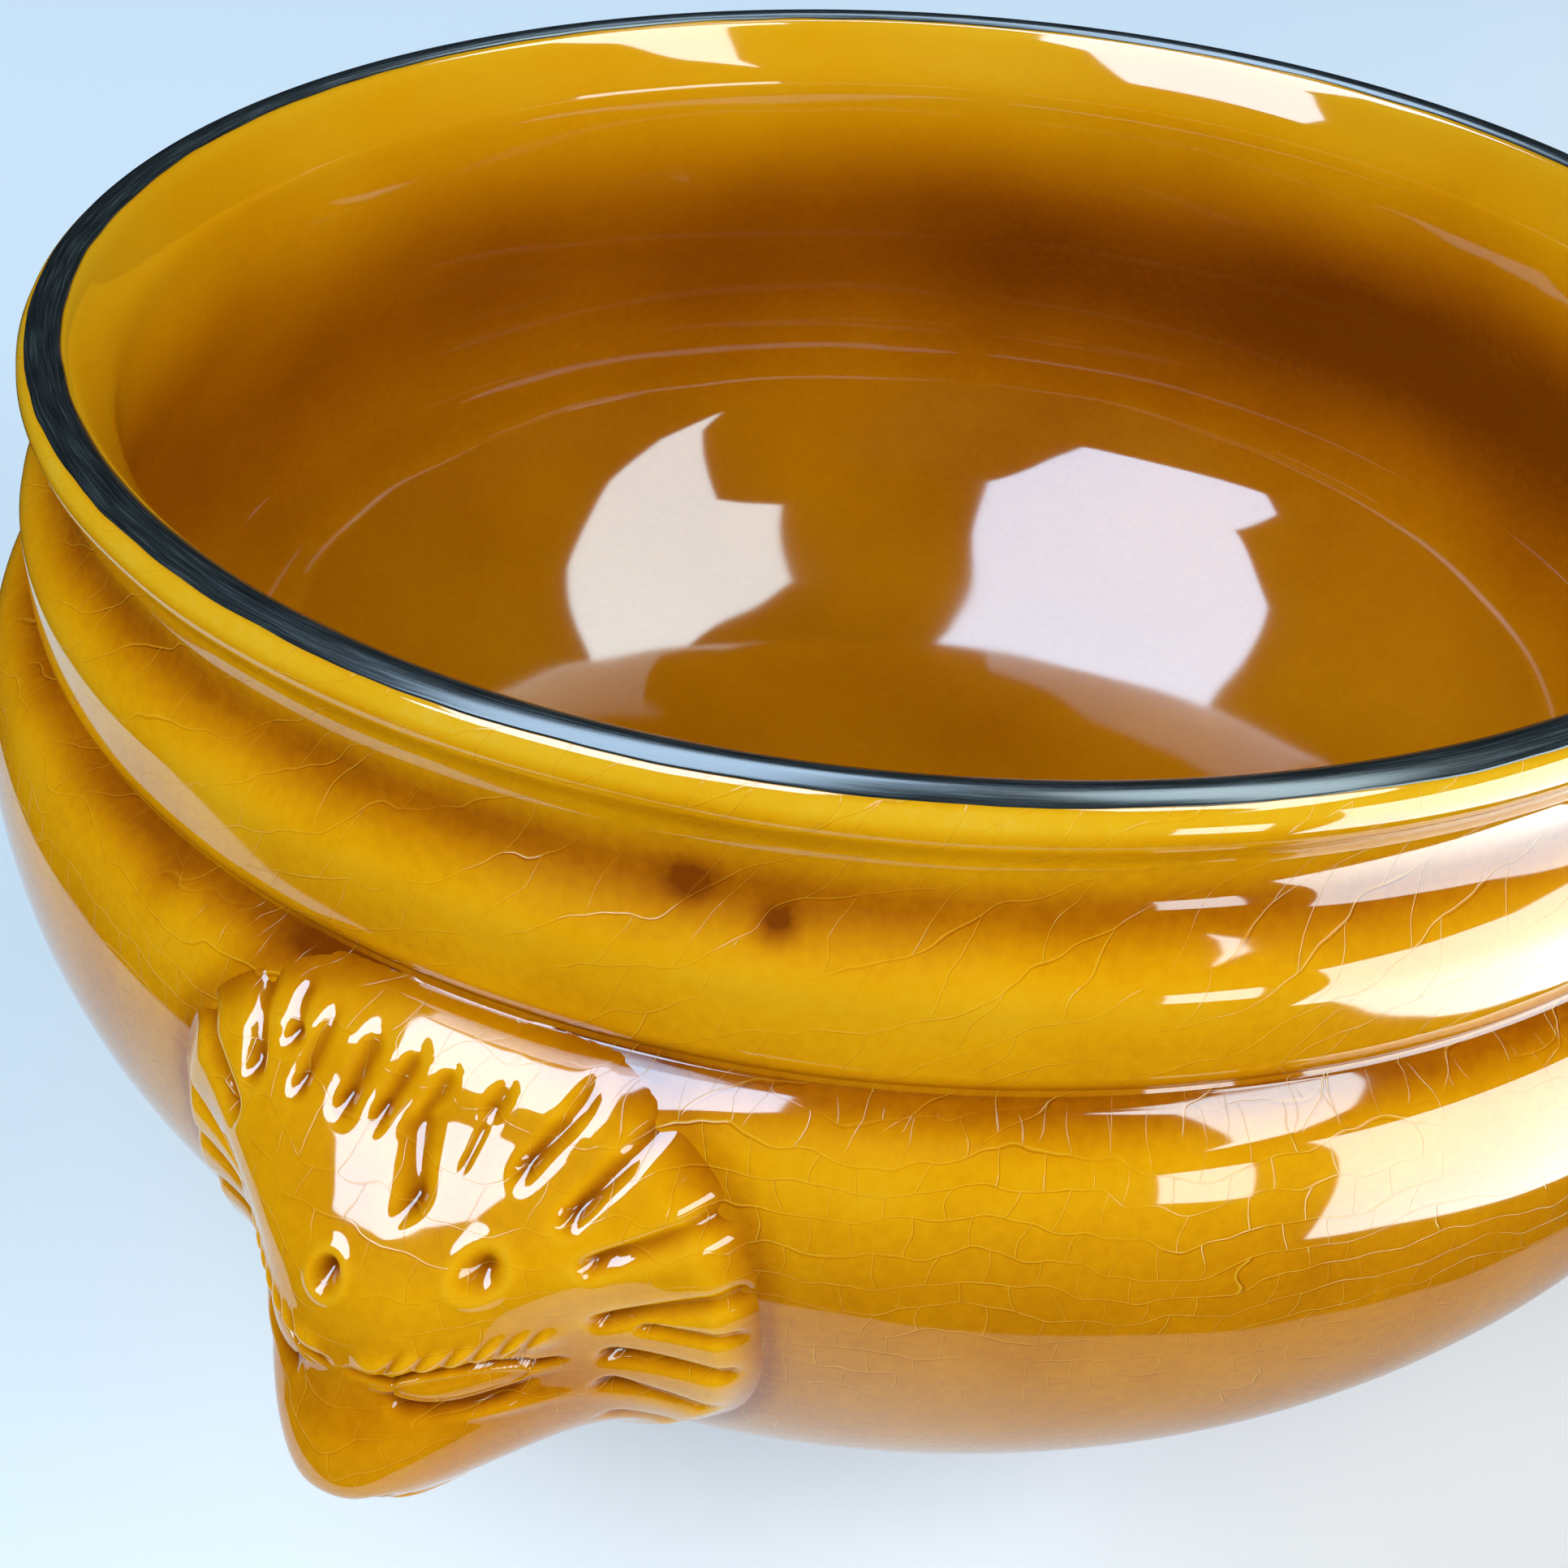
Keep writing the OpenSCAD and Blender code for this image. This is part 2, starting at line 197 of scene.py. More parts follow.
# %% Lines of a profile
def crowd(low, high, count):
    """Heights from low to high that lie closer near low, where the wall turns flat."""
    return low + (high - low) * (1 - np.cos(np.linspace(0, np.pi / 2, count)))


def lip_arc(start, end, count=60):
    """Points on the round lip between two angles in degrees, counted from straight outwards."""
    a = np.radians(np.linspace(start, end, count))
    return np.stack([LIP_C + LIP_R * np.cos(a), LIP_Z + LIP_R * np.sin(a)], 1)


def evenly(line, count):
    """The same line with count points at equal steps along its length."""
    steps = np.hypot(*np.diff(line, axis=0).T)
    along = np.concatenate([[0], np.cumsum(steps)])
    places = np.linspace(0, along[-1], count)
    return np.stack([np.interp(places, along, line[:, k]) for k in (0, 1)], 1)


def inward(line, depth):
    """The line moved to its left by depth: each point goes along the normal of its neighbours' chord."""
    way = np.gradient(line, axis=0)
    way /= np.linalg.norm(way, axis=1)[:, None]
    return line + depth * np.stack([-way[:, 1], way[:, 0]], 1)


FINE = 3000


def side_line(radius, low, widest, high, lip):
    """One side of the pot from low to high, where radius is a rule of height, and on along the lip."""
    z = np.concatenate([crowd(low, widest, FINE), np.linspace(widest, high, FINE)[1:]])
    return np.concatenate([np.stack([radius(z), z], 1), lip[1:]])


outer_lip = lip_arc(LIP_LOW_A, BAND_OUT_A + BAND_LAP_A)
inner_lip = lip_arc(LIP_IN_A, BAND_IN_A - BAND_LAP_A)
outer_line = side_line(wall_r, FOOT_H, BELLY_Z, LIP_LOW_Z, outer_lip)
inner_line = side_line(inner_r, FLOOR_Z, WELL_Z, LIP_IN_Z, inner_lip)
print("profile points:", len(outer_line), "outside,", len(inner_line), "inside")

# %% [markdown]
# ## Making a mesh from a grid
#
# A turned piece is a grid: one way along the profile, one way round the axis. Numpy works out every
# vertex in one step, and the faces are four shifted copies of the grid's own numbering. A row that
# lies on the axis shrinks to one vertex, so the pole is closed.

# %% Mesh helpers
def new_piece(name, points, quads, triangles=()):
    """A smooth mesh object at the origin from points in millimetres, four-sided faces and triangles."""
    mesh = bpy.data.meshes.new(name)
    mesh.vertices.add(len(points))
    mesh.vertices.foreach_set("co", (np.asarray(points) * MM).astype(np.float32).ravel())
    corners = [np.asarray(quads, np.int32).ravel(), np.asarray(triangles, np.int32).ravel()]
    counts = np.concatenate([np.full(len(corners[0]) // 4, 4), np.full(len(corners[1]) // 3, 3)])
    corners = np.concatenate(corners)
    mesh.loops.add(len(corners))
    mesh.loops.foreach_set("vertex_index", corners)
    mesh.polygons.add(len(counts))
    starts = np.concatenate([[0], np.cumsum(counts)[:-1]])
    mesh.polygons.foreach_set("loop_start", starts.astype(np.int32))
    mesh.polygons.foreach_set("use_smooth", np.ones(len(counts), bool))
    mesh.update(calc_edges=True)
    mesh.validate()
    piece = bpy.data.objects.new(name, mesh)
    bpy.context.scene.collection.objects.link(piece)
    return piece


def paint(piece, name, values):
    """Stores one number per vertex under a name that a material can read."""
    layer = piece.data.attributes.new(name, "FLOAT", "POINT")
    layer.data.foreach_set("value", np.asarray(values, np.float32))


def ring_quads(rows, around, close_rows=False):
    """Faces between neighbouring rings of a grid, each ring closed on itself."""
    row = np.arange(rows if close_rows else rows - 1)[:, None]
    col = np.arange(around)[None, :]
    up, side = (row + 1) % rows, (col + 1) % around
    corners = [row * around + col, row * around + side, up * around + side, up * around + col]
    return np.stack([np.broadcast_to(c, (len(row), around)) for c in corners], -1).reshape(-1, 4)


def fan(ring_first, around, pole, order=1):
    """Triangles from a ring to one pole vertex; order -1 makes them face the other way."""
    col = np.arange(around)
    side = (col + 1) % around
    return np.stack([ring_first + col, ring_first + side, np.full(around, pole)], 1)[:, ::order]


def spin(line, around):
    """The profile carried round the axis: radius times cosine and sine of each angle, and the height."""
    a = np.linspace(0, 2 * np.pi, around, endpoint=False)
    r, z = line[:, :1], line[:, 1:]
    return np.stack([r * np.cos(a), r * np.sin(a), np.broadcast_to(z, (len(line), around))], -1)


# %% [markdown]
# ## Unevenness of hand work
#
# No fired pot is a perfect turned surface. A few hundredths of a millimetre of waviness is enough to
# bend the edge of a reflection, and that is what tells the eye that the thing is pottery. It is a
# sum of sine waves in seeded random directions: smooth, cheap, and the same on each run.

# %% Ripple
def ripple(points, length, seed, waves=16):
    """Smooth unevenness of about -1 to 1: a scaled sum of sine waves in random directions, each
    with a wave length near the given one."""
    rng = np.random.default_rng(seed)
    ways = rng.normal(size=(waves, 3))
    ways /= np.linalg.norm(ways, axis=1)[:, None] * length * rng.uniform(0.7, 1.5, (waves, 1))
    phases = rng.uniform(0, 2 * np.pi, waves)
    return np.sin(2 * np.pi * (points @ ways.T) + phases).sum(-1) / np.sqrt(waves)


def calm_at_lip(points):
    """1 over most of the pot, and 0 on the upper part of the lip, which stays a true circle."""
    return 1 - rise((points[..., 2] - LIP_Z) / 1.5)


def wall_waves(points):
    """Push of the outer wall in millimetres: long and short ripples that fade out at the lip."""
    return (0.035 * ripple(points, 26, 1) + 0.012 * ripple(points, 9, 2)) * calm_at_lip(points)


def outward(points, amount):
    """Moves points away from the axis by an amount in millimetres each."""
    flat = np.hypot(points[..., 0], points[..., 1])[..., None]
    return points + np.concatenate([points[..., :2] / flat, np.zeros_like(flat)], -1) * amount[..., None]


# %% [markdown]
# ## Where the glaze is thin and where it pools
#
# Molten glaze leaves the crowns and gathers in the hollows, and an amber glaze turns from yellow to
# red brown as it gets thicker. The depth is worked out per vertex: along the wall it follows the
# mouldings, and on the heads it follows how hollow the carving is. Inside the pot it also carries
# painted shade and light. The material turns it into colour.

# %% Depth of the glaze along the wall
WALL_ZONES = [
    # height, half height, added depth
    (NECK_Z - 0.9, 1.6, 0.9),
    (GROOVE_Z + 0.1, 1.0, 1.0),
    (BEAD_Z + 0.2, 2.4, -0.3),
    (GROOVE_Z - 3.2, 2.0, -0.2),
    (LIP_Z + 0.9, 0.7, -0.8),
    (LIP_Z - 0.6, 0.5, -0.1),
    (FOOT_H, 2.0, 0.8),
]


def wall_depth(points):
    """Depth of the outer glaze, 0 thin and 1 pooled: more down the belly, and bells at the mouldings."""
    z = points[..., 2]
    depth = 0.18 + 0.36 * rise((GROOVE_Z - 4 - z) / 9)
    for place, half, amount in WALL_ZONES:
        depth = depth + amount * bell((z - place) / half)
    return depth + 0.07 * ripple(points, 14, 5)


# %% [markdown]
# ## The print of a head
#
# A head is pressed in a mould and luted to the wall. Its outline is a round print on the wall, wider
# than it is high, squarer at the top. Everything on it is placed in the print's own two numbers:
# across (to the right, seen from outside) and height.

# %% Print and its polar numbers
HEAD_W = (head_high.y - head_low.y) / MM
HEAD_TOP_Z, HEAD_LOW_Z = head_high.z / MM, head_low.z / MM
HEAD_H = HEAD_TOP_Z - HEAD_LOW_Z
MIDDLE_Z = HEAD_TOP_Z - 0.49 * HEAD_H
HALF_W = HEAD_W / 2
SQUARE_POWER, ROUND_POWER = 3.0, 2.0


def print_size(a):
    """From the middle to the print's edge at angle a: a rounded square above, an ellipse below."""
    p = np.where(np.sin(a) > 0, SQUARE_POWER, ROUND_POWER)
    h = np.where(np.sin(a) > 0, HEAD_TOP_Z - MIDDLE_Z, MIDDLE_Z - HEAD_LOW_Z)
    return (np.abs(np.cos(a) / HALF_W) ** p + np.abs(np.sin(a) / h) ** p) ** (-1 / p)


def share_out(x, z):
    """How far out a point lies: 0 in the middle, 1 on the print's edge."""
    return np.hypot(x, z - MIDDLE_Z) / print_size(np.arctan2(z - MIDDLE_Z, x))


print("head print", round(HEAD_W, 1), "by", round(HEAD_H, 1), "mm, middle at", round(MIDDLE_Z, 2))

# %% [markdown]
# ## The turned glaze
#
# Outside and inside, the glaze is a closed skin under half a millimetre thick. It is a grid round
# the axis rather than a thickened sheet, so both of its sides stay exact. Three blemishes of the
# kind that every such crock has are pressed into it: a dark pit, a stained bump and a shallow dent.

# %% Outer glaze
AROUND, FACE_ROWS, BACK_ROWS = 600, 132, 26
BLEMISHES = [
    # azimuth in degrees, height, radius, push outwards, added depth of colour
    (-164.7, 65.3, 1.1, -0.28, 1.3),
    (-169.2, 66.6, 1.3, 0.05, 0.8),
    (159.7, 54.0, 1.9, -0.22, 0.5),
]


def near_wall(points, azimuth, height, radius):
    """A bell round one place of the outer wall, given by azimuth and height."""
    a = math.radians(azimuth)
    r = float(wall_r(height))
    place = np.array([r * math.cos(a), r * math.sin(a), height])
    return bell(np.linalg.norm(points - place, axis=-1) / radius)


def head_edge_depth(points):
    """Extra depth in the corner between a head and the wall: a bell just outside the print's edge."""
    t = share_out(points[..., 1], points[..., 2])
    return 0.55 * bell((t - 1.03) / 0.05) * (np.abs(points[..., 0]) > HALF_W)


def make_outer_glaze():
    """Two lines of the profile, the skin's face and its back, closed into one ring and spun."""
    face = evenly(outer_line, FACE_ROWS)
    back = evenly(inward(outer_line, GLAZE_T), BACK_ROWS)[::-1]
    points = spin(np.concatenate([face, back]), AROUND)
    push = wall_waves(points)
    depth = wall_depth(points) + head_edge_depth(points)
    for azimuth, height, radius, out, colour in BLEMISHES:
        spot = near_wall(points, azimuth, height, radius)
        push = push + out * spot
        depth = depth + colour * spot
    push[len(face):] = 0
    points = outward(points, push)
    rows = len(face) + len(back)
    piece = new_piece("outer_glaze", points.reshape(-1, 3), ring_quads(rows, AROUND, close_rows=True))
    paint(piece, "depth", depth.ravel())
    return piece


outer_glaze = make_outer_glaze()
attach(outer_glaze, "root")
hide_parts("glaze_coat")
print("outer glaze:", len(outer_glaze.data.polygons), "faces")


# %% Inner glaze
INSIDE_ROWS, INSIDE_BACK_ROWS = 138, 24
POLE_R, FLOOR_STEPS = 0.4, 200


def inside_depth_and_shade(points):
    """Depth of the inner glaze, with painted shade and light in it: deepest half way up, a painted shade;
    thin on the throat, a painted light; thin on the crown of the lip; and deeper low on the left head's
    side and high on the window's side, a painted shade."""
    x, y, z = points.T
    depth = 0.57 + 0.1 * ripple(points, 24, 6) + 0.4 * bell((z - 46) / 12)
    depth = depth - 0.75 * rise((z - 56) / 14) - 0.2 * bell((z - LIP_Z - 1.2) / 0.6)
    depth = depth + 0.35 * rise((-x - 20) / 40) * bell((z - 34) / 20)
    return depth + 0.75 * rise((60 - y) / 80) * bell((z - 54) / 12)


def make_inner_glaze():
    """The inner line from the axis to the band and the same line set back, each closed by a pole."""
    floor_r = np.linspace(POLE_R, FLOOR_FLAT_R, FLOOR_STEPS)[:-1]
    floor_line = np.stack([floor_r, np.full_like(floor_r, FLOOR_Z)], 1)
    whole = np.concatenate([floor_line, inner_line])
    face = evenly(whole, INSIDE_ROWS)
    back = evenly(inward(whole, -GLAZE_T), INSIDE_BACK_ROWS)[::-1]
    points = spin(np.concatenate([face, back]), AROUND)
    waves = 0.05 * ripple(points, 30, 3) + 0.015 * ripple(points, 11, 4)
    waves[len(face):] = 0
    points = outward(points, -waves * calm_at_lip(points))
    rows = len(face) + len(back)
    poles = np.array([[0, 0, FLOOR_Z], [0, 0, FLOOR_Z - GLAZE_T]])
    quads = ring_quads(rows, AROUND)[:, ::-1]
    first, last = rows * AROUND, rows * AROUND + 1
    triangles = np.concatenate([fan(0, AROUND, first), fan((rows - 1) * AROUND, AROUND, last, -1)])
    every = np.concatenate([points.reshape(-1, 3), poles])
    piece = new_piece("inner_glaze", every, quads, triangles)
    # The stored depth on the inside also holds painted shade and light.
    paint(piece, "depth", inside_depth_and_shade(every))
    return piece


inner_glaze = make_inner_glaze()
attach(inner_glaze, "root")
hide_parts("glaze_lining")
print("inner glaze:", len(inner_glaze.data.polygons), "faces")

# %% [markdown]
# ## The dark band
#
# The band is slip laid on with a brush while the pot turns, so its two edges wander and its surface
# has faint strokes. Its middle lies a hair over the glaze, and both edges sink into it.

# %% Rim band
BAND_T, BAND_SINK, BAND_BACK = 0.03, 0.01, 0.3
BAND_AROUND, BAND_ROWS = 720, 22


def make_rim_band():
    """Angles on the lip between two wandering edges; its crown is a flat ellipse across the band."""
    across = np.linspace(0, 1, BAND_ROWS)[:, None]
    a = np.linspace(0, 2 * np.pi, BAND_AROUND, endpoint=False)
    circle = np.stack([RIM_R * np.cos(a), RIM_R * np.sin(a), np.zeros(BAND_AROUND)], 1)
    low = BAND_OUT_A - 1.5 + 1.3 * ripple(circle, 9, 11) + 1.2 * ripple(circle, 34, 12)
    low = low + 0.5 * ripple(circle, 2.5, 15)
    high = BAND_IN_A + 1.5 + 1.2 * ripple(circle, 7, 13) + 1.2 * ripple(circle, 30, 14)
    angle = np.radians(low + (high - low) * across)
    skin = BAND_T * np.sqrt(np.clip(1 - (2 * across - 1) ** 6, 0, 1))
    radius = np.concatenate([LIP_R + skin - BAND_SINK, np.full_like(skin, LIP_R - BAND_BACK)])
    angle = np.concatenate([angle, angle[::-1]])
    r, z = LIP_C + radius * np.cos(angle), LIP_Z + radius * np.sin(angle)
    points = np.stack([r * np.cos(a), r * np.sin(a), z], -1)
    quads = ring_quads(len(points), BAND_AROUND, close_rows=True)
    piece = new_piece("dark_band", points.reshape(-1, 3), quads)
    edge = np.broadcast_to(np.concatenate([across, across[::-1]]), points.shape[:2])
    paint(piece, "across", edge.ravel())
    return piece


dark_band = make_rim_band()
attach(dark_band, "root")
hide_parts("rim_band")
print("dark band:", len(dark_band.data.polygons), "faces")

# %% [markdown]
# ## Carving a head
#
# The mould was carved, so the head is a height over the wall at each place of the print, as a
# sculptor reads a relief. The height is a sum of simple forms: the round mane, the snout, the
# flutes between the locks, the eyes under their brows, and the nose and mouth. Each form is a
# short rule. A sum of rules beats a sculpted mesh here, because each one can be put right by itself.

# %% Mane and snout
MANE_T, SNOUT_OUT = 1.9, 12.4
EDGE_FROM, EDGE_TO = 0.91, 1.03
SNOUT_REACH = [
    # place down the head from 0 at the top, and share of the snout's reach: forehead, nose, mouth, chin
    (0, 0.03), (0.06, 0.03), (0.1, 0.08), (0.15, 0.215), (0.2, 0.355), (0.25, 0.495), (0.29, 0.58),
    (0.33, 0.63), (0.38, 0.67), (0.43, 0.69), (0.47, 0.7), (0.5, 0.735), (0.54, 0.82), (0.58, 0.92),
    (0.62, 0.985), (0.67, 1.02), (0.71, 1.0), (0.76, 0.93), (0.81, 0.88), (0.85, 0.9), (0.9, 0.79),
    (0.95, 0.5), (1, 0),
]
SNOUT_WIDTH = [
    # place down the head, and share of the print's half width
    (0, 0.85), (0.1, 0.8), (0.2, 0.7), (0.3, 0.57), (0.4, 0.5), (0.5, 0.48), (0.6, 0.47),
    (0.73, 0.42), (0.82, 0.33), (0.91, 0.24), (1, 0.17),
]


def through(x, table):
    """A smooth curve through a table of places and values; each slope follows the two neighbours."""
    place, value = np.array(table, float).T
    index = np.arange(len(place))
    before, after = np.maximum(index - 1, 0), np.minimum(index + 1, len(place) - 1)
    slopes = (value[after] - value[before]) / (place[after] - place[before])
    i = np.clip(np.searchsorted(place, x, side="right") - 1, 0, len(place) - 2)
    gap = place[i + 1] - place[i]
    t = np.clip((x - place[i]) / gap, 0, 1)
    rest = 1 - t
    return (value[i] * (1 + 2 * t) * rest**2 + slopes[i] * gap * t * rest**2
        + value[i + 1] * t**2 * (3 - 2 * t) - slopes[i + 1] * gap * t**2 * rest)


def mane_form(t):
    """A low dome with a rounded drop to the wall at the print's edge."""
    return MANE_T * (1 - 0.22 * t**4) * rise((EDGE_TO - t) / (EDGE_TO - EDGE_FROM)) ** 0.8


def snout_form(x, z, t):
    """The snout's reach down the head times a squarish bell across it, faded out at the edge."""
    down = np.clip((HEAD_TOP_Z - z) / HEAD_H, 0, 1)
    width = HALF_W * through(down, SNOUT_WIDTH)
    reach = np.maximum(through(down, SNOUT_REACH), 0)
    flat = 3.0 - 0.5 * rise((down - 0.15) / 0.2)
    return SNOUT_OUT * reach * np.exp(-np.abs(x / width) ** flat) * (1 - np.clip(t, 0, 1) ** 12)


# %% Locks of the mane
FLUTES = [
    # outer end and inner end as across and height from the middle, width and depth, in millimetres
    (15.0, -11.0, 11.5, -6.6, 1.2, 0.5), (16.8, -6.7, 11.8, -2.3, 1.3, 0.75),
    (18.6, -2.0, 12.1, 0.3, 1.3, 0.85), (19.2, 1.8, 14.0, 2.8, 0.9, 0.55),
    (19.4, 5.4, 11.9, 3.4, 1.4, 0.9), (18.0, 10.9, 11.7, 8.4, 1.5, 1.0),
    (13.9, 15.7, 10.3, 10.8, 1.4, 0.9), (9.3, 15.8, 7.0, 12.4, 1.2, 0.7),
    (4.6, 15.6, 4.2, 14.2, 1.2, 0.5), (4.2, 14.2, 4.0, 12.2, 0.5, 0.25),
    (1.2, 15.3, 0.3, 13.0, 1.0, 0.5), (0.3, 13.4, 2.3, 10.2, 1.7, 0.8),
    (-1.2, 15.5, -2.1, 12.6, 1.1, 0.6), (-4.0, 15.6, -4.4, 12.4, 1.3, 0.7),
    (-7.2, 15.6, -7.6, 12.2, 1.1, 0.6), (-10.0, 15.8, -9.0, 13.8, 1.2, 0.7),
    (-13.0, 15.4, -10.8, 11.6, 1.4, 0.9), (-17.6, 11.8, -11.4, 9.6, 1.5, 1.0),
    (-19.2, 6.0, -12.2, 4.2, 1.4, 0.9), (-19.2, 1.8, -13.4, 1.4, 1.2, 0.8),
    (-18.4, -2.6, -12.0, -1.0, 1.3, 0.85), (-16.6, -7.0, -11.8, -3.6, 1.3, 0.7),
    (-15.0, -11.0, -11.5, -7.2, 1.2, 0.5),
]


def flute_form(x, z):
    """Each flute is a trough along a line: a bell across it, wider outside and deeper near its inner end."""
    cut = np.zeros_like(x)
    for x0, z0, x1, z1, width, deep in FLUTES:
        length = math.hypot(x1 - x0, z1 - z0)
        way_x, way_z = (x1 - x0) / length, (z1 - z0) / length
        along = (x - x0) * way_x + (z - MIDDLE_Z - z0) * way_z
        aside = (z - MIDDLE_Z - z0) * way_x - (x - x0) * way_z
        share = along / length
        half = width / 2 * (1.15 - 0.3 * np.clip(share, 0, 1))
        ends = rise((along + 0.7) / 1.2) * rise((length + 0.4 - along) / 0.9)
        cut = np.maximum(cut, deep * (1 + 0.35 * bell((share - 0.85) / 0.15)) * ends * bell(aside / half))
    return cut


# %% Eyes and brows
EYE_X, EYE_Z, EYE_TURN = 6.1, MIDDLE_Z + 0.4, math.radians(-6)
EYE_HALF_L, EYE_HALF_H = 2.9, 0.85
BROW_Z, BROW_SLOPE, BROW_HALF = MIDDLE_Z + 2.6, 0.04, 0.75
BROW_NOTCHES = [3.2, 4.5, 5.8, 7.0, 8.1, 9.2]
DIMPLES = [
    # across, height, radius
    (7.0, MIDDLE_Z + 8.6, 1.35), (-1.3, MIDDLE_Z + 7.0, 1.1),
]


def eye_form(x, z):
    """An almond ball between two lids, a crease above it and a socket and a fold below it, and the
    brow with its notches."""
    x = np.abs(x)
    along = (x - EYE_X) * math.cos(EYE_TURN) + (z - EYE_Z) * math.sin(EYE_TURN)
    across = -(x - EYE_X) * math.sin(EYE_TURN) + (z - EYE_Z) * math.cos(EYE_TURN)
    u = np.clip(np.abs(along) / EYE_HALF_L, 0, 1)
    half = EYE_HALF_H * np.sqrt(np.clip(1 - u**1.7, 0, 1)) + 0.02
    inside = np.abs(along) < EYE_HALF_L
    ball = 0.38 * np.sqrt(np.clip(1 - (across / half) ** 2, 0, 1)) * (1 - u**2) * inside
    fade = rise((EYE_HALF_L + 1.8 - np.abs(along)) / 1.8)
    lid = 0.22 * bell((np.abs(across) - half - 0.16) / 0.16) * fade
    crease = 0.7 * bell((across - half - 0.6) / 0.24) * rise((EYE_HALF_L + 2.6 - np.abs(along + 0.6)) / 2.0)
    socket = 0.75 * bell((across + half + 0.75) / 0.55) * rise((EYE_HALF_L + 0.8 - np.abs(along + 0.2)) / 2.0)
    over_brow = z - (BROW_Z + BROW_SLOPE * (x - 2))
    on_brow = bell(over_brow / BROW_HALF)
    brow = 0.5 * on_brow * rise((x - 0.6) / 1.6) * rise((11.5 - x) / 2.5)
    notches = np.zeros_like(x)
    for place in BROW_NOTCHES:
        off = (x - place) - 0.55 * over_brow
        notches = np.maximum(notches, 0.42 * bell(off / 0.33) * on_brow)
    fold = 0.4 * bell((across + 2.1 + 0.16 * (along - 1)) / 0.5) * bell((along - 1.8) / 2.6)
    return ball + lid - crease - socket + brow - notches + fold


def dimple_form(x, z):
    """Round dents with a slightly raised rim, pressed into the forehead by hand."""
    height = np.zeros_like(x)
    for place_x, place_z, radius in DIMPLES:
        off = np.hypot(x - place_x, z - place_z) / radius
        height += -1.15 * bell(off / 0.6) + 0.2 * bell((off - 1.15) / 0.3)
    return height


# %% Nose and mouth
NOSE_Z, MOUTH_Z = MIDDLE_Z - 6.8, MIDDLE_Z - 11.6


def muzzle_form(x, z):
    """A pad for the nose with two nostrils, a line down from it, and a mouth that curls up at both ends."""
    side = np.abs(x)
    pad = 0.45 * bell(x / 3.0) * bell((z - NOSE_Z) / 2.0)
    nostrils = 0.6 * bell((side - 2.5) / 0.75) * bell((z - NOSE_Z + 0.9 - 0.35 * (side - 2.5)) / 0.5)
    line = 0.4 * bell(x / 0.4) * rise((NOSE_Z - 1.2 - z) / 0.8) * rise((z - MOUTH_Z) / 0.8)
    mouth_z = MOUTH_Z - 0.9 * bell((side - 3.4) / 2.0) + 0.05 * side
    mouth = 0.8 * bell((z - mouth_z) / 0.42) * rise((7.0 - side) / 2.0)
    bridge = 0.3 * bell(x / 1.6) * rise((MIDDLE_Z + 3 - z) / 3) * rise((z - NOSE_Z) / 3)
    return pad + bridge - nostrils - line - mouth


# %% The whole relief
def relief(x, z):
    """Height of the glazed head over the glazed wall at a place of the print: the sum of all forms."""
    t = share_out(x, z)
    face = rise((1 - t) / 0.2)
    forms = mane_form(t) + snout_form(x, z, t) - flute_form(x, z) * rise((1.06 - t) / 0.1)
    forms = forms + (eye_form(x, z) + dimple_form(x, z) + muzzle_form(x, z)) * face
    return forms - 0.4 * rise((t - 1.0) / 0.08)


def hollow(x, z, reach):
    """How far a place lies below its surroundings: the mean of eight neighbours less its own height."""
    turns = np.linspace(0, 2 * np.pi, 8, endpoint=False)
    around = sum(relief(x + reach * math.cos(a), z + reach * math.sin(a)) for a in turns) / len(turns)
    return around - relief(x, z)


# %% Build both heads
SPOKES, RINGS, BACK_RINGS = 440, 160, 30
PRINT_GROW, BACK_SINK = 1.07, 0.35


def head_depth(x, z, points):
    """Depth of a head's glaze: pooled where the carving is hollow and near the wall, and darker down the
    muzzle.
    """
    depth = 0.22 + 1.5 * np.clip(hollow(x, z, 0.55), -0.16, 0.5)
    depth = depth + 0.5 * np.clip(hollow(x, z, 1.6), -0.3, 0.9)
    depth = depth + head_edge_depth(points) + 0.07 * ripple(points, 12, 22)
    return depth + 0.5 * rise((MIDDLE_Z + 5 - z) / 7) * rise((1 - share_out(x, z)) / 0.4)


def make_head(name, node, side):
    """Rings of the face from the middle out past the print's edge, then of the back inwards again."""
    a = np.linspace(0, 2 * np.pi, SPOKES, endpoint=False)
    size = print_size(a)
    t_face = np.linspace(0, PRINT_GROW, RINGS + 1)[1:, None]
    t_back = np.linspace(PRINT_GROW, 0, BACK_RINGS + 1)[:-1, None]
    t = np.concatenate([t_face, t_back])
    x, z = t * size * np.cos(a), MIDDLE_Z + t * size * np.sin(a)
    x, z = np.append(x.ravel(), [0, 0]), np.append(z.ravel(), [MIDDLE_Z, MIDDLE_Z])
    is_face = np.arange(len(x)) < RINGS * SPOKES
    is_face[-2] = True
    out = np.where(is_face, relief(x, z), -BACK_SINK)
    base = np.sqrt(wall_r(z) ** 2 - x**2)
    points = np.stack([base + out, x, z], 1)
    on_wall = np.stack([base * side, x * side, z], 1)
    uneven = 0.02 * ripple(points, 11, 21) * rise((1 - share_out(x, z)) / 0.1)
    points[:, 0] += np.where(is_face, wall_waves(on_wall) + uneven, 0)
    depth = head_depth(x, z, points)
    points[:, :2] *= side
    rows = RINGS + BACK_RINGS
    quads = ring_quads(rows, SPOKES)
    front, rear = rows * SPOKES, rows * SPOKES + 1
    triangles = np.concatenate([fan(0, SPOKES, front, -1), fan((rows - 1) * SPOKES, SPOKES, rear)])
    piece = new_piece(name, points, quads, triangles)
    paint(piece, "depth", depth)
    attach(piece, "root")
    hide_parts(node)
    return piece


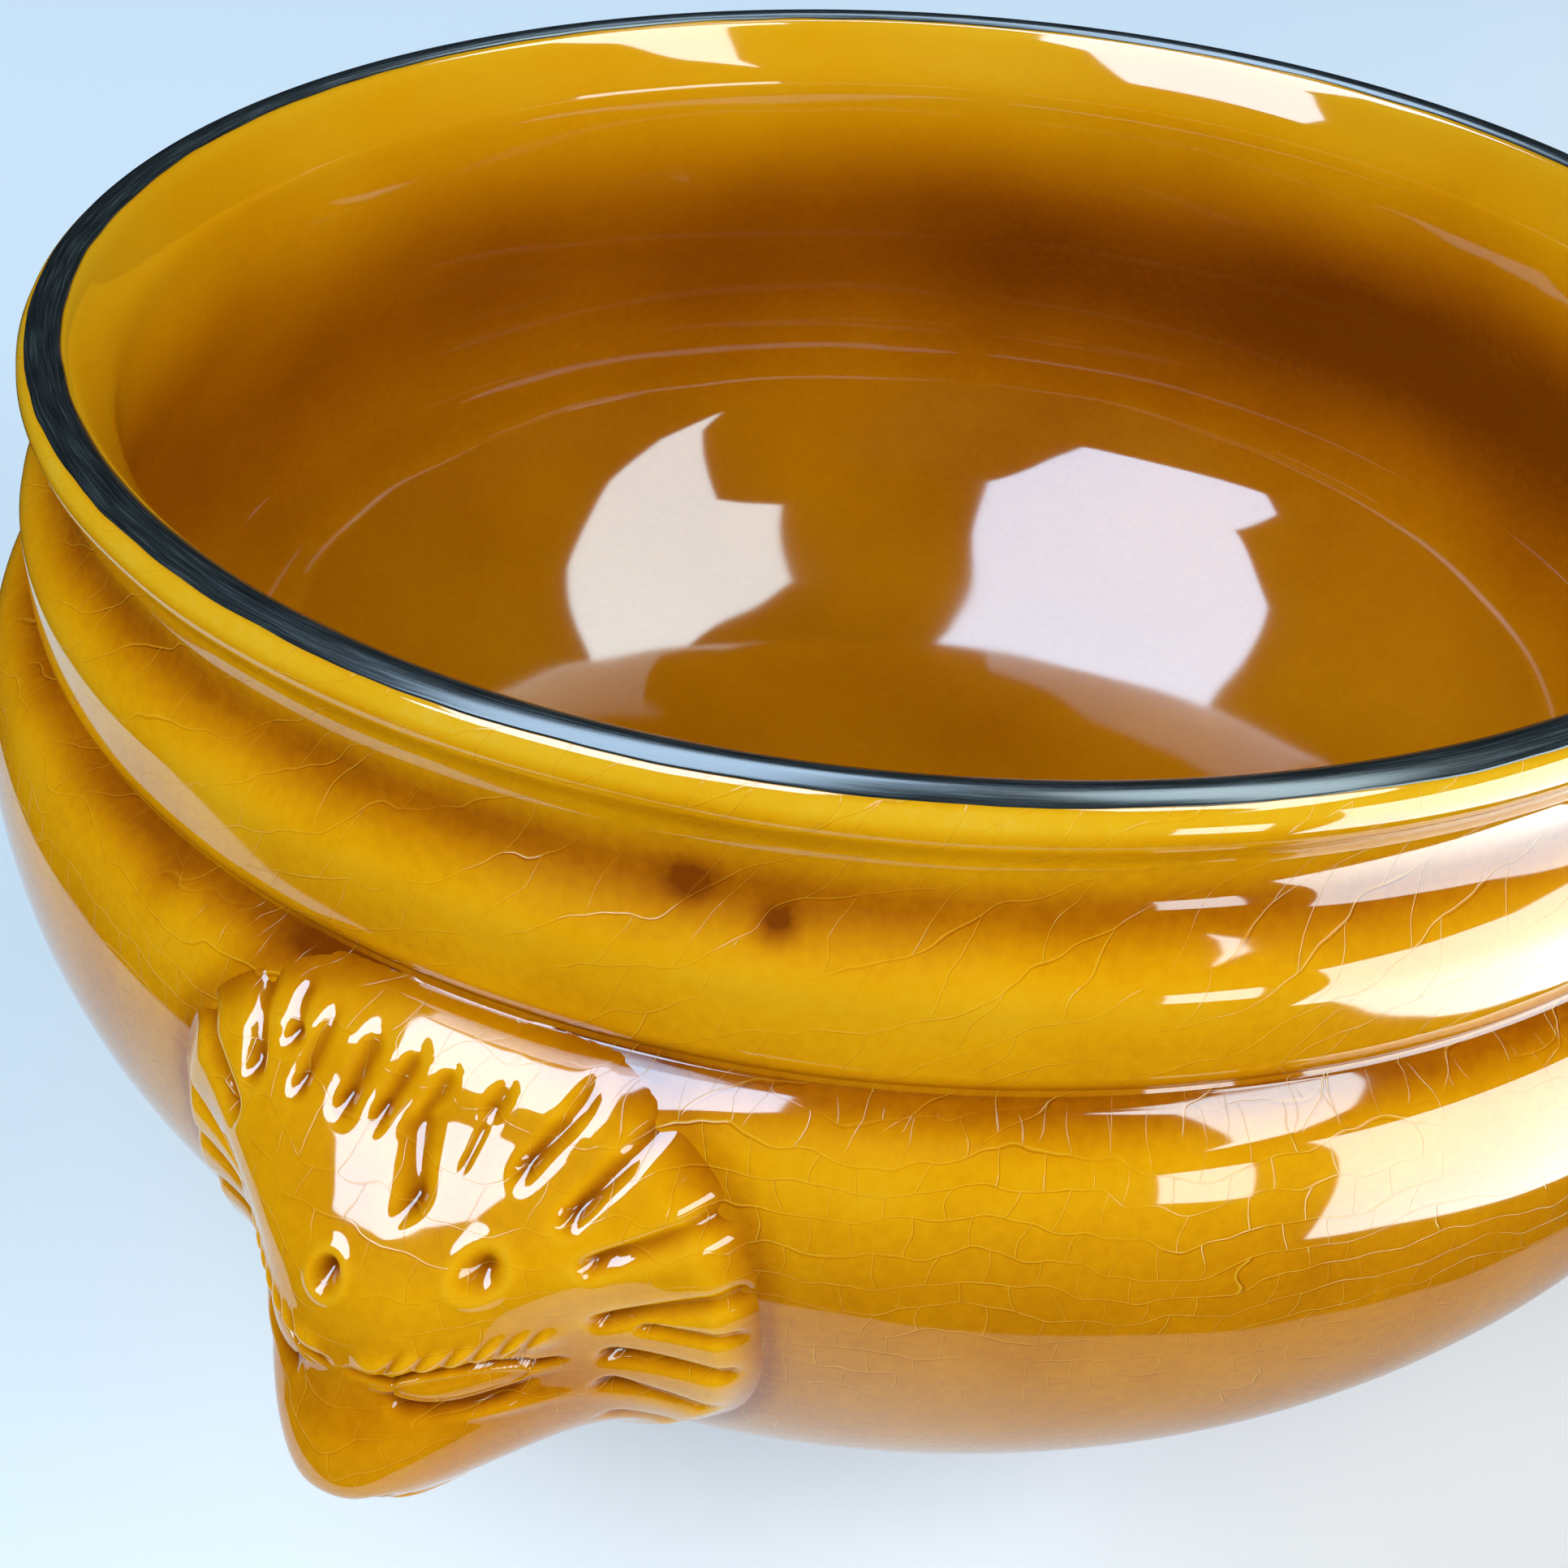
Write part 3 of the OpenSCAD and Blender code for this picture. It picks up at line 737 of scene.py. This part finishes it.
heads = [
    make_head("carved_head_right", "lion_head_right", 1),
    make_head("carved_head_left", "lion_head_left", -1),
]
for head in heads:
    reach = max(abs(corner[0]) for corner in head.bound_box) / MM
    print(head.name, "reaches", round(reach, 2), "mm out;", len(head.data.polygons), "faces")

# %% [markdown]
# ## The foot ring
#
# The pot stands on a turned ring whose edge is wiped clean of glaze before firing, or it would stick
# to the kiln shelf. The shape is the frame's; it is spun again only to be smooth, and it carries
# the height above the table as a number, so that the material knows where the clay is bare.

# %% Foot ring
FOOT_W, FOOT_ROUND, FOOT_AROUND = 4.4, 1.0, 240


def make_foot():
    """A closed profile: the inner side, two rounded lower edges and the outer side drawn in to the bowl."""
    low_in, low_out = FOOT_R - FOOT_W + FOOT_ROUND, FOOT_R - FOOT_ROUND
    left = np.radians(np.linspace(180, 270, 14))
    right = np.radians(np.linspace(270, 360, 14))
    climb = np.linspace(0, 1, 16)[1:]
    line = np.concatenate([
        [[BASE_R - FOOT_W + FOOT_DRAW / 2, FOOT_H],
            [(BASE_R + FOOT_R) / 2 - FOOT_W + FOOT_DRAW / 4, FOOT_H / 2]],
        np.stack([low_in + FOOT_ROUND * np.cos(left), FOOT_ROUND + FOOT_ROUND * np.sin(left)], 1),
        np.stack([low_out + FOOT_ROUND * np.cos(right), FOOT_ROUND + FOOT_ROUND * np.sin(right)], 1),
        np.stack([FOOT_R - FOOT_DRAW * ease(climb), FOOT_ROUND + (FOOT_H - FOOT_ROUND) * climb], 1),
    ])
    points = spin(line, FOOT_AROUND)
    quads = ring_quads(len(line), FOOT_AROUND, close_rows=True)
    piece = new_piece("foot", points.reshape(-1, 3), quads)
    paint(piece, "depth", 0.7 + 0.15 * ripple(points, 10, 31).ravel())
    return piece


foot = make_foot()
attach(foot, "root")
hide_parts("foot_ring")
print("foot ring:", len(foot.data.polygons), "faces")

# %% [markdown]
# ## Node helpers
#
# Materials are graphs of nodes. A few short helpers keep them readable: they add a node with its
# settings, and start a group with named sockets. The colour of the glaze and the net of cracks are
# such groups, because several finishes share them.

# %% Graph helpers
def feed(tree, node, inputs):
    """Links or fills a node's inputs by name or number."""
    for key, value in inputs.items():
        if isinstance(value, bpy.types.NodeSocket):
            tree.links.new(value, node.inputs[key])
        else:
            node.inputs[key].default_value = value


def add(tree, kind, inputs=None, **settings):
    """Adds a node, sets its properties and feeds its inputs."""
    node = tree.nodes.new(kind)
    for key, value in settings.items():
        setattr(node, key, value)
    feed(tree, node, inputs or {})
    return node


def object_place(tree):
    """The place on the object, in metres."""
    return add(tree, "ShaderNodeTexCoord").outputs["Object"]


def stored(tree, name):
    """A number that was painted on the vertices."""
    return add(tree, "ShaderNodeAttribute", attribute_name=name).outputs["Fac"]


def noise(tree, place, scale, detail=2.0, roughness=0.5, output="Fac"):
    """Cloudy noise, as a number or a colour."""
    inputs = {"Vector": place, "Scale": scale, "Detail": detail, "Roughness": roughness}
    return add(tree, "ShaderNodeTexNoise", inputs).outputs[output]


def math_node(tree, operation, *values):
    """One sum on numbers; the values are sockets or plain numbers."""
    return add(tree, "ShaderNodeMath", dict(enumerate(values)), operation=operation).outputs[0]


def vector_node(tree, operation, inputs):
    """One sum on vectors."""
    return add(tree, "ShaderNodeVectorMath", inputs, operation=operation).outputs[0]


def map_range(tree, value, low, high, to_low, to_high):
    """A value carried from one range to another, and held at its ends."""
    inputs = {"Value": value, "From Min": low, "From Max": high, "To Min": to_low, "To Max": to_high}
    return add(tree, "ShaderNodeMapRange", inputs).outputs[0]


def new_group(name, inputs, outputs):
    """An empty node group with named sockets. Inputs are name, kind and first value."""
    tree = bpy.data.node_groups.new(name, "ShaderNodeTree")
    for label, kind, value in inputs:
        socket = tree.interface.new_socket(label, in_out="INPUT", socket_type=kind)
        if value is not None:
            socket.default_value = value
    for label, kind in outputs:
        tree.interface.new_socket(label, in_out="OUTPUT", socket_type=kind)
    return tree, tree.nodes.new("NodeGroupInput"), tree.nodes.new("NodeGroupOutput")


def blend(tree, factor, low, high):
    """A mix of two colours by a factor."""
    inputs = {"Factor": factor, 6: low, 7: high}
    return add(tree, "ShaderNodeMix", inputs, data_type="RGBA").outputs[2]


def ramp(tree, factor, stops):
    """A colour ramp through named stops of place and linear colour."""
    node = tree.nodes.new("ShaderNodeValToRGB")
    elements = node.color_ramp.elements
    while len(elements) < len(stops):
        elements.new(0.5)
    for element, (place, colour) in zip(elements, stops):
        element.position = place
        element.color = (*colour, 1)
    tree.links.new(factor, node.inputs["Fac"])
    return node.outputs["Color"]


# %% [markdown]
# ## Colour and cracks
#
# An amber glaze is coloured glass over buff clay: the thicker it lies, the redder it gets. One group
# turns the depth into a colour with a ramp and adds faint clouds, so that all glazed pieces match.
# As the pot cools, the glaze shrinks more than the clay and cracks into a net. A noise of cells looks
# too round for it, so it is made of bricks: long rows with staggered ends, warped by noise, are
# close to cracks that run round a turned pot and step from row to row.

# %% Groups
def glaze_colour_group():
    """Depth plus mottling, through a ramp from pale yellow over amber to red brown."""
    tree, start, end = new_group(
        "glaze_colour",
        [("Depth", "NodeSocketFloat", 0.3), ("Mottle", "NodeSocketFloat", 0.1)],
        [("Color", "NodeSocketColor")],
    )
    coord = object_place(tree)
    broad = math_node(tree, "SUBTRACT", noise(tree, coord, 140.0, 3.0, 0.6), 0.5)
    fine = math_node(tree, "SUBTRACT", noise(tree, coord, 1400.0, 2.0, 0.6), 0.5)
    both = math_node(tree, "ADD", broad, math_node(tree, "MULTIPLY", fine, 0.9))
    depth = math_node(tree, "MULTIPLY_ADD", both, start.outputs["Mottle"], start.outputs["Depth"])
    place = math_node(tree, "MULTIPLY_ADD", depth, 0.4, 0.4)
    colour = ramp(tree, place, [
        (0.0, (0.80, 0.56, 0.08)),
        (0.2, (0.80, 0.46, 0.012)),
        (0.4, (0.76, 0.36, 0.002)),
        (0.6, (0.58, 0.23, 0.001)),
        (0.8, (0.40, 0.125, 0.001)),
        (1.0, (0.20, 0.045, 0.001)),
    ])
    tree.links.new(colour, end.inputs["Color"])
    return tree


def crackle_group():
    """A crack and a shade beside it, along the joints of warped bricks that are staggered row by row."""
    tree, start, end = new_group(
        "crackle",
        [("Net", "NodeSocketVector", None), ("Width", "NodeSocketFloat", 0.05),
            ("Cell", "NodeSocketFloat", 2.9), ("Row", "NodeSocketFloat", 1.9)],
        [("Line", "NodeSocketFloat"), ("Shade", "NodeSocketFloat")],
    )
    coord = object_place(tree)
    bend = noise(tree, coord, 85.0, 2.5, 0.6, "Color")
    centred = vector_node(tree, "SUBTRACT", {0: bend, 1: (0.5, 0.5, 0.5)})
    push = vector_node(tree, "SCALE", {0: centred, "Scale": CRACK_BEND})
    warped = vector_node(tree, "ADD", {0: start.outputs["Net"], 1: push})
    beside = vector_node(tree, "ADD", {0: warped, 1: CRACK_SHADE_STEP})
    keep = map_range(tree, noise(tree, coord, 120.0, 1.0), 0.33, 0.6, 0.25, 1.0)
    for label, place in (("Line", warped), ("Shade", beside)):
        bricks = add(tree, "ShaderNodeTexBrick", {
            "Vector": place, "Scale": 1.0, "Mortar Smooth": 0.5, "Mortar Size": start.outputs["Width"],
            "Brick Width": start.outputs["Cell"], "Row Height": start.outputs["Row"],
        })
        strength = math_node(tree, "MULTIPLY", bricks.outputs["Fac"], keep)
        tree.links.new(strength, end.inputs[label])
    return tree


CRACK_BEND, CRACK_SHADE_STEP = 7.0, (0.05, 0.10, 0.0)
GLAZE_COLOUR = glaze_colour_group()
CRACKLE = crackle_group()
print("groups:", [group.name for group in bpy.data.node_groups])

# %% [markdown]
# ## The amber glaze
#
# The net is fine on the belly, and wide and slanted on the neck. Both are laid out by angle and
# height, with whole cells round the pot, so no seam shows. A crack is drawn three times: a pale line
# that catches light, a painted highlight; a darker line beside it, a painted shade; and a slight dent
# in the gloss. The gloss itself is a very low roughness with the IOR of a dense glass.

# %% Glaze materials
def new_material(name):
    """A material with an empty graph, a Principled BSDF and its output."""
    material = bpy.data.materials.new(name)
    material.use_nodes = True
    tree = material.node_tree
    tree.nodes.clear()
    shader = tree.nodes.new("ShaderNodeBsdfPrincipled")
    output = tree.nodes.new("ShaderNodeOutputMaterial")
    tree.links.new(shader.outputs[0], output.inputs["Surface"])
    return material, tree, shader


# Cell and row in millimetres, and cells round the pot, for the belly's fine net and the neck's wide one.
# Whole cells and pairs of rows go round, so each net meets itself where the angle starts again.
CELL, ROW, CELLS_AROUND = 2.9, 1.9, 150
WIDE_CELL, WIDE_ROW, WIDE_AROUND, WIDE_CLIMB, WIDE_SLANT = 4.8, 3.4, 90, 26, 0.6
CRACK_WIDTH = 0.04


def wall_nets(tree):
    """Places for the cracks in millimetres: way round and height for the belly, and both slanted for
    the neck, with the share of the neck's net at each height."""
    axes = add(tree, "ShaderNodeSeparateXYZ", {0: object_place(tree)})
    angle = math_node(tree, "ARCTAN2", axes.outputs["X"], axes.outputs["Y"])
    turn = math_node(tree, "DIVIDE", angle, 2 * math.pi)
    height = math_node(tree, "MULTIPLY", axes.outputs["Z"], 1 / MM)
    around = math_node(tree, "MULTIPLY", turn, CELL * CELLS_AROUND)
    belly = add(tree, "ShaderNodeCombineXYZ", {"X": around, "Y": height}).outputs[0]
    lean = math_node(tree, "MULTIPLY", height, WIDE_SLANT)
    slant_x = math_node(tree, "MULTIPLY_ADD", turn, WIDE_CELL * WIDE_AROUND, lean)
    slant_y = math_node(tree, "MULTIPLY_ADD", turn, 2 * WIDE_ROW * WIDE_CLIMB, height)
    neck = add(tree, "ShaderNodeCombineXYZ", {"X": slant_x, "Y": slant_y}).outputs[0]
    return belly, neck, map_range(tree, height, GROOVE_Z - 1.5, GROOVE_Z, 0.0, 1.0)


def crackle(tree):
    """The belly's fine net below the groove and the neck's wide net above it: line and shade."""
    belly, neck, high = wall_nets(tree)
    nets = []
    for place, cell, row in ((belly, CELL, ROW), (neck, WIDE_CELL, WIDE_ROW)):
        sizes = {"Net": place, "Width": CRACK_WIDTH, "Cell": cell, "Row": row}
        nets.append(add(tree, "ShaderNodeGroup", sizes, node_tree=CRACKLE))
    mixed = []
    for label in ("Line", "Shade"):
        inputs = {0: high, 2: nets[0].outputs[label], 3: nets[1].outputs[label]}
        mixed.append(add(tree, "ShaderNodeMix", inputs).outputs[0])
    return mixed


def amber(tree, depth, mottle):
    """The shared colour of the glaze at a depth."""
    inputs = {"Depth": depth, "Mottle": mottle}
    return add(tree, "ShaderNodeGroup", inputs, node_tree=GLAZE_COLOUR).outputs["Color"]


GLAZE_GLOSS, GLAZE_IOR = 0.035, 1.62
# Colour of the painted highlight along each crack.
CRACK_LIGHT = (0.80, 0.48, 0.03, 1)


def glaze(name, mottle, cracks):
    """Amber glaze: colour from its depth, hairlines with a shade beside them, and a very smooth face."""
    material, tree, shader = new_material(name)
    depth = stored(tree, "depth")
    if cracks:
        line, shade = crackle(tree)
        depth = math_node(tree, "MULTIPLY_ADD", shade, 0.9 * cracks, depth)
        sunk = math_node(tree, "MULTIPLY", line, -1.0)
        bump = add(tree, "ShaderNodeBump", {"Strength": 0.25, "Distance": 0.00003, "Height": sunk})
        feed(tree, shader, {"Normal": bump.outputs[0]})
    colour = amber(tree, depth, mottle)
    if cracks:
        colour = blend(tree, math_node(tree, "MULTIPLY", line, cracks), colour, CRACK_LIGHT)
    rough = map_range(tree, noise(tree, object_place(tree), 90.0), 0.0, 1.0, GLAZE_GLOSS, GLAZE_GLOSS * 1.8)
    feed(tree, shader, {"Base Color": colour, "Roughness": rough, "IOR": GLAZE_IOR})
    return material


def wear(piece, material):
    """Gives a piece one material."""
    piece.data.materials.clear()
    piece.data.materials.append(material)


wear(outer_glaze, glaze("amber_outside", mottle=0.45, cracks=0.5))
wear(inner_glaze, glaze("amber_inside", mottle=0.25, cracks=0.0))
head_glaze = glaze("amber_heads", mottle=0.4, cracks=0.25)
for head in heads:
    wear(head, head_glaze)

# %% [markdown]
# ## Slip, foot and clay
#
# The band is dark slip under a thin gloss, with the strokes of a brush along the lip. The foot is
# glazed down to the wavering line where it was wiped. The clay is hidden by the glaze, yet the
# frame's own solids get it too, so that each of them has the finish of what it stands for inside.

# %% Band, foot and clay
def slip_material():
    """Blue-black slip: strokes along the lip, from near black to slate, with a gloss of glaze over it."""
    material, tree, shader = new_material("dark_slip")
    axes = add(tree, "ShaderNodeSeparateXYZ", {0: object_place(tree)})
    angle = math_node(tree, "ARCTAN2", axes.outputs["X"], axes.outputs["Y"])
    along = math_node(tree, "MULTIPLY", angle, 6.0)
    over = math_node(tree, "MULTIPLY", stored(tree, "across"), 9.0)
    place = add(tree, "ShaderNodeCombineXYZ", {"X": along, "Y": over}).outputs[0]
    strokes = noise(tree, place, 2.0, 4.0)
    colour = ramp(tree, strokes, [
        (0.3, (0.006, 0.009, 0.011)),
        (0.55, (0.018, 0.028, 0.034)),
        (0.75, (0.05, 0.075, 0.09)),
    ])
    rough = map_range(tree, strokes, 0.0, 1.0, 0.12, 0.3)
    feed(tree, shader, {"Base Color": colour, "Roughness": rough, "IOR": 1.6})
    return material


WIPED_H = 0.0009


def foot_material():
    """Amber glaze above, and bare clay below a wavering line where the foot was wiped."""
    material, tree, shader = new_material("foot_finish")
    coord = object_place(tree)
    height = add(tree, "ShaderNodeSeparateXYZ", {0: coord}).outputs["Z"]
    over_wipe = math_node(tree, "SUBTRACT", height, WIPED_H)
    level = math_node(tree, "MULTIPLY_ADD", noise(tree, coord, 120.0), WIPED_H, over_wipe)
    bare = map_range(tree, level, 0.0, 0.0003, 1.0, 0.0)
    clay = ramp(tree, noise(tree, coord, 900.0, 3.0), [(0.3, (0.42, 0.29, 0.17)), (0.6, (0.62, 0.47, 0.30))])
    colour = blend(tree, bare, amber(tree, stored(tree, "depth"), 0.4), clay)
    rough = map_range(tree, bare, 0.0, 1.0, 0.06, 0.8)
    feed(tree, shader, {"Base Color": colour, "Roughness": rough, "IOR": 1.6})
    return material


def clay_material():
    """Fired buff clay: fine speckle in colour, and a dry, slightly pitted face."""
    material, tree, shader = new_material("buff_clay")
    coord = object_place(tree)
    speck = noise(tree, coord, 700.0, 4.0, 0.7)
    cloud = noise(tree, coord, 60.0)
    both = math_node(tree, "MULTIPLY_ADD", cloud, 0.5, math_node(tree, "MULTIPLY", speck, 0.5))
    colour = ramp(tree, both, [
        (0.35, (0.40, 0.27, 0.16)),
        (0.5, (0.60, 0.45, 0.29)),
        (0.65, (0.72, 0.58, 0.40)),
    ])
    bump = add(tree, "ShaderNodeBump", {"Strength": 0.5, "Distance": 0.0001, "Height": speck})
    rough = map_range(tree, speck, 0.0, 1.0, 0.7, 0.95)
    feed(tree, shader, {"Base Color": colour, "Roughness": rough, "Normal": bump.outputs[0]})
    return material


wear(dark_band, slip_material())
wear(foot, foot_material())
clay = clay_material()
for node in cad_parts.values():
    if not node.data.materials:
        node.data.materials.append(clay)
    for slot in node.material_slots:
        slot.material = clay
print("materials:", sorted(m.name for m in bpy.data.materials if m.users))

# %% [markdown]
# ## Floor and light
#
# Gloss shows its surroundings, so the set matters as much as the material. The crock stands on a
# plain pale floor. Two panels of light hang over it, and two small ones stand on its window side.
# Their outlines are the bright shapes in the glaze. As a photographer does with glossy ware, black
# flags keep the rest of the room out of the glaze, so the amber stays deep between the bright shapes.
#
# The floor glows a little for the camera and for gloss, so that it stays pale without more light on
# the pot. It is bluer away from the window, and gloss sees a painted shade on it towards the window
# and the left head's side.

# %% Floor
STAGE_AROUND, FLOOR_R, FLOOR_DROP = 96, 3000, 0.02


def seen_rays(tree, path):
    """1 for rays of the camera, of gloss and through glass, and 0 for the light that falls on things."""
    mirrored = math_node(tree, "MAXIMUM", path.outputs["Is Glossy Ray"], path.outputs["Is Transmission Ray"])
    return math_node(tree, "MAXIMUM", path.outputs["Is Camera Ray"], mirrored)


def make_floor():
    """A round, flat, pale floor far wider than the view."""
    turns = np.linspace(0, 2 * np.pi, STAGE_AROUND, endpoint=False)
    ring = np.stack([FLOOR_R * np.cos(turns), FLOOR_R * np.sin(turns), np.full_like(turns, -FLOOR_DROP)], 1)
    points = np.concatenate([ring, [[0, 0, -FLOOR_DROP]]])
    floor = new_piece("floor", points, np.zeros((0, 4)), fan(0, STAGE_AROUND, STAGE_AROUND))
    material, tree, shader = new_material("pale_floor")
    coord = object_place(tree)
    axes = add(tree, "ShaderNodeSeparateXYZ", {0: coord})
    window_side = math_node(tree, "MULTIPLY_ADD", axes.outputs["Y"], -2.2, 0.09)
    swing = math_node(tree, "MULTIPLY_ADD", noise(tree, coord, 9.0, 3.0), 0.12, window_side)
    colour = ramp(tree, swing, [
        (0.0, (0.60, 0.78, 0.95)),
        (0.3, (0.76, 0.85, 0.93)),
        (0.5, (0.70, 0.69, 0.65)),
    ])
    path = tree.nodes.new("ShaderNodeLightPath")
    place = math_node(tree, "MULTIPLY_ADD", axes.outputs["X"], -0.9, swing)
    # Painted shade that only gloss sees: the floor's colour turns dark towards the window and the left head's
    # side.
    shade = map_range(tree, place, 0.22, 0.32, 0.0, 0.7)
    painted_gloss_shade = math_node(tree, "MULTIPLY", path.outputs["Is Glossy Ray"], shade)
    base = blend(tree, painted_gloss_shade, colour, (0.20, 0.19, 0.17, 1))
    lift = ramp(tree, place, [
        (0.0, (0.16, 0.21, 0.27)),
        (0.26, (0.27, 0.33, 0.40)),
        (0.38, (0.03, 0.03, 0.02)),
    ])
    away = add(tree, "ShaderNodeVectorMath", {0: coord}, operation="LENGTH").outputs["Value"]
    far = map_range(tree, away, 0.35, 2.2, 0.0, 1.0)
    glow_colour = blend(tree, far, lift, (0.66, 0.72, 0.78, 1))
    feed(tree, shader, {"Base Color": base, "Roughness": 0.9, "Specular IOR Level": 0.1})
    feed(tree, shader, {"Emission Color": glow_colour, "Emission Strength": seen_rays(tree, path)})
    wear(floor, material)


make_floor()

# %% [markdown]
# ### Panels of light
#
# Each panel is a flat sheet with a glowing material that only gloss sees, so it draws a bright shape
# and lights nothing. Three broad lamps that gloss doesn't see light the pot from the same sides. So
# the shapes and the brightness can be set apart.

# %% Panels
def only_in_gloss(piece):
    """Hides a piece of the set from every ray but a glossy one."""
    piece.visible_camera = piece.visible_diffuse = piece.visible_transmission = False
    piece.visible_volume_scatter = piece.visible_shadow = False


def panel(name, corners, material):
    """A flat sheet through its corners in millimetres."""
    mesh = bpy.data.meshes.new(name)
    mesh.from_pydata((np.asarray(corners, float) * MM).tolist(), [], [list(range(len(corners)))])
    piece = bpy.data.objects.new(name, mesh)
    bpy.context.scene.collection.objects.link(piece)
    wear(piece, material)
    only_in_gloss(piece)


def glow(name, colour, level):
    """A glowing material: one colour at one level."""
    material = bpy.data.materials.new(name)
    material.use_nodes = True
    tree = material.node_tree
    tree.nodes.clear()
    light = add(tree, "ShaderNodeEmission", {"Color": (*colour, 1), "Strength": level})
    output = tree.nodes.new("ShaderNodeOutputMaterial")
    tree.links.new(light.outputs[0], output.inputs["Surface"])
    return material


OVER_H, SIDE_Y = 450, -120
LEFT_PANEL = [
    (290, 90), (233, 80), (142, 66), (63, 46), (-31, 22), (-164, -8), (-260, 20), (-430, 60),
    (-445, 350), (-330, 320), (-200, 215), (-90, 214), (-14, 214), (61, 193), (150, 172), (219, 162),
    (300, 156), (300, 120),
]
RIGHT_PANEL = [
    (-320, -500), (-201, -399), (-10, -159), (-14, -109), (107, -15), (178, -1), (223, 9),
    (285, 14), (163, -141), (104, -204), (5, -303), (-140, -417),
]
COOL, CLEAR = (0.55, 0.76, 1.0), (0.72, 0.92, 1.0)
for name, outline, colour, level in (("left", LEFT_PANEL, COOL, 14), ("right", RIGHT_PANEL, CLEAR, 11)):
    panel("panel_" + name, [(x, y, OVER_H) for x, y in outline], glow("glow_" + name, colour, level))
SIDE_PANELS = [
    # name, from and to along x, from and to in height
    ("low", -80, 5, 0, 95),
    ("slit", -125, -98, 35, 72),
]
for name, x0, x1, z0, z1 in SIDE_PANELS:
    upright = [(x0, SIDE_Y, z0), (x1, SIDE_Y, z0), (x1, SIDE_Y, z1), (x0, SIDE_Y, z1)]
    panel("panel_" + name, upright, glow("glow_" + name, CLEAR, 9))


# %% Fill light
FILL_SIZE, FILL_DISTANCE = 1.4, 1.6


def fill(name, azimuth, elevation, level, colour):
    """A broad lamp aimed at the pot that gloss doesn't see. Its power is level times area times pi."""
    lamp = bpy.data.lights.new(name, "AREA")
    lamp.shape = "SQUARE"
    lamp.size = FILL_SIZE
    lamp.energy = level * FILL_SIZE**2 * math.pi
    lamp.color = colour
    holder = bpy.data.objects.new(name, lamp)
    a, e = math.radians(azimuth), math.radians(elevation)
    place = Vector((math.cos(a) * math.cos(e), math.sin(a) * math.cos(e), math.sin(e))) * FILL_DISTANCE
    holder.location = place
    holder.rotation_mode = "QUATERNION"
    holder.rotation_quaternion = (-place).to_track_quat("-Z", "Y")
    holder.visible_camera = False
    holder.visible_glossy = False
    bpy.context.scene.collection.objects.link(holder)


fill("fill_head_side", 180, 42, 2.8, (0.98, 1.0, 1.0))
fill("fill_window_side", 270, 18, 3.1, (1.0, 0.99, 0.97))
fill("fill_far_side", 105, 42, 1.0, (0.97, 0.99, 1.0))
print("lamps:", [lamp.name for lamp in bpy.data.lights])

# %% [markdown]
# ### Flags
#
# The black dome and the black ring on the floor are seen by gloss alone. The ring starts a few
# centimetres from the pot, so the lower belly mirrors the pale floor near it and nothing beyond.

# %% Flags
EDGE_MID, EDGE_SWING, EDGE_TURN = 117, 26, math.radians(75)
DOME_R, DOME_TOP, DOME_ROWS, RING_LIFT = 2600, 2603, 24, 0.3


def make_flags():
    """A ring on the floor whose inner edge is a shifted circle, carried on as a dome over the scene."""
    a = np.linspace(0, 2 * np.pi, STAGE_AROUND, endpoint=False)
    inner = EDGE_MID + EDGE_SWING * np.cos(a - EDGE_TURN)
    climb = np.radians(np.linspace(0, 88, DOME_ROWS))[:, None]
    shape = (DOME_ROWS, STAGE_AROUND)
    r = np.concatenate([inner[None, :], np.broadcast_to(DOME_R * np.cos(climb), shape)])
    z = np.concatenate([np.zeros_like(inner)[None, :], np.broadcast_to(DOME_R * np.sin(climb), shape)])
    points = np.stack([r * np.cos(a), r * np.sin(a), RING_LIFT + z], -1).reshape(-1, 3)
    every = np.concatenate([points, [[0, 0, DOME_TOP]]])
    cap = fan(DOME_ROWS * STAGE_AROUND, STAGE_AROUND, len(points))
    flags = new_piece("flags", every, ring_quads(DOME_ROWS + 1, STAGE_AROUND), cap)
    material, tree, shader = new_material("black_cloth")
    nap = noise(tree, object_place(tree), 3.0)
    colour = ramp(tree, nap, [(0.3, (0.008, 0.008, 0.008)), (0.7, (0.014, 0.013, 0.012))])
    feed(tree, shader, {"Base Color": colour, "Roughness": 1.0, "Specular IOR Level": 0.0})
    wear(flags, material)
    only_in_gloss(flags)


make_flags()

# %% [markdown]
# ### World
#
# Past the floor's edge lies a pale backdrop. Light Path tells the rays of the camera and of gloss
# from the rest, so the backdrop can be bright while the room's own light on the pot stays weak.

# %% World
def make_world():
    """A pale backdrop for the camera and for mirrors, and a weaker even light for everything else."""
    world = bpy.data.worlds.new("room")
    world.use_nodes = True
    tree = world.node_tree
    tree.nodes.clear()
    seen = seen_rays(tree, tree.nodes.new("ShaderNodeLightPath"))
    backdrop = add(tree, "ShaderNodeBackground", {"Color": (0.80, 0.90, 1.0, 1), "Strength": 0.9})
    room = add(tree, "ShaderNodeBackground", {"Color": (0.95, 0.98, 1.0, 1), "Strength": 0.15})
    both = add(tree, "ShaderNodeMixShader", {0: seen, 1: room.outputs[0], 2: backdrop.outputs[0]})
    output = tree.nodes.new("ShaderNodeOutputWorld")
    tree.links.new(both.outputs[0], output.inputs["Surface"])
    bpy.context.scene.world = world


make_world()
bpy.context.scene.view_settings.view_transform = "Standard"
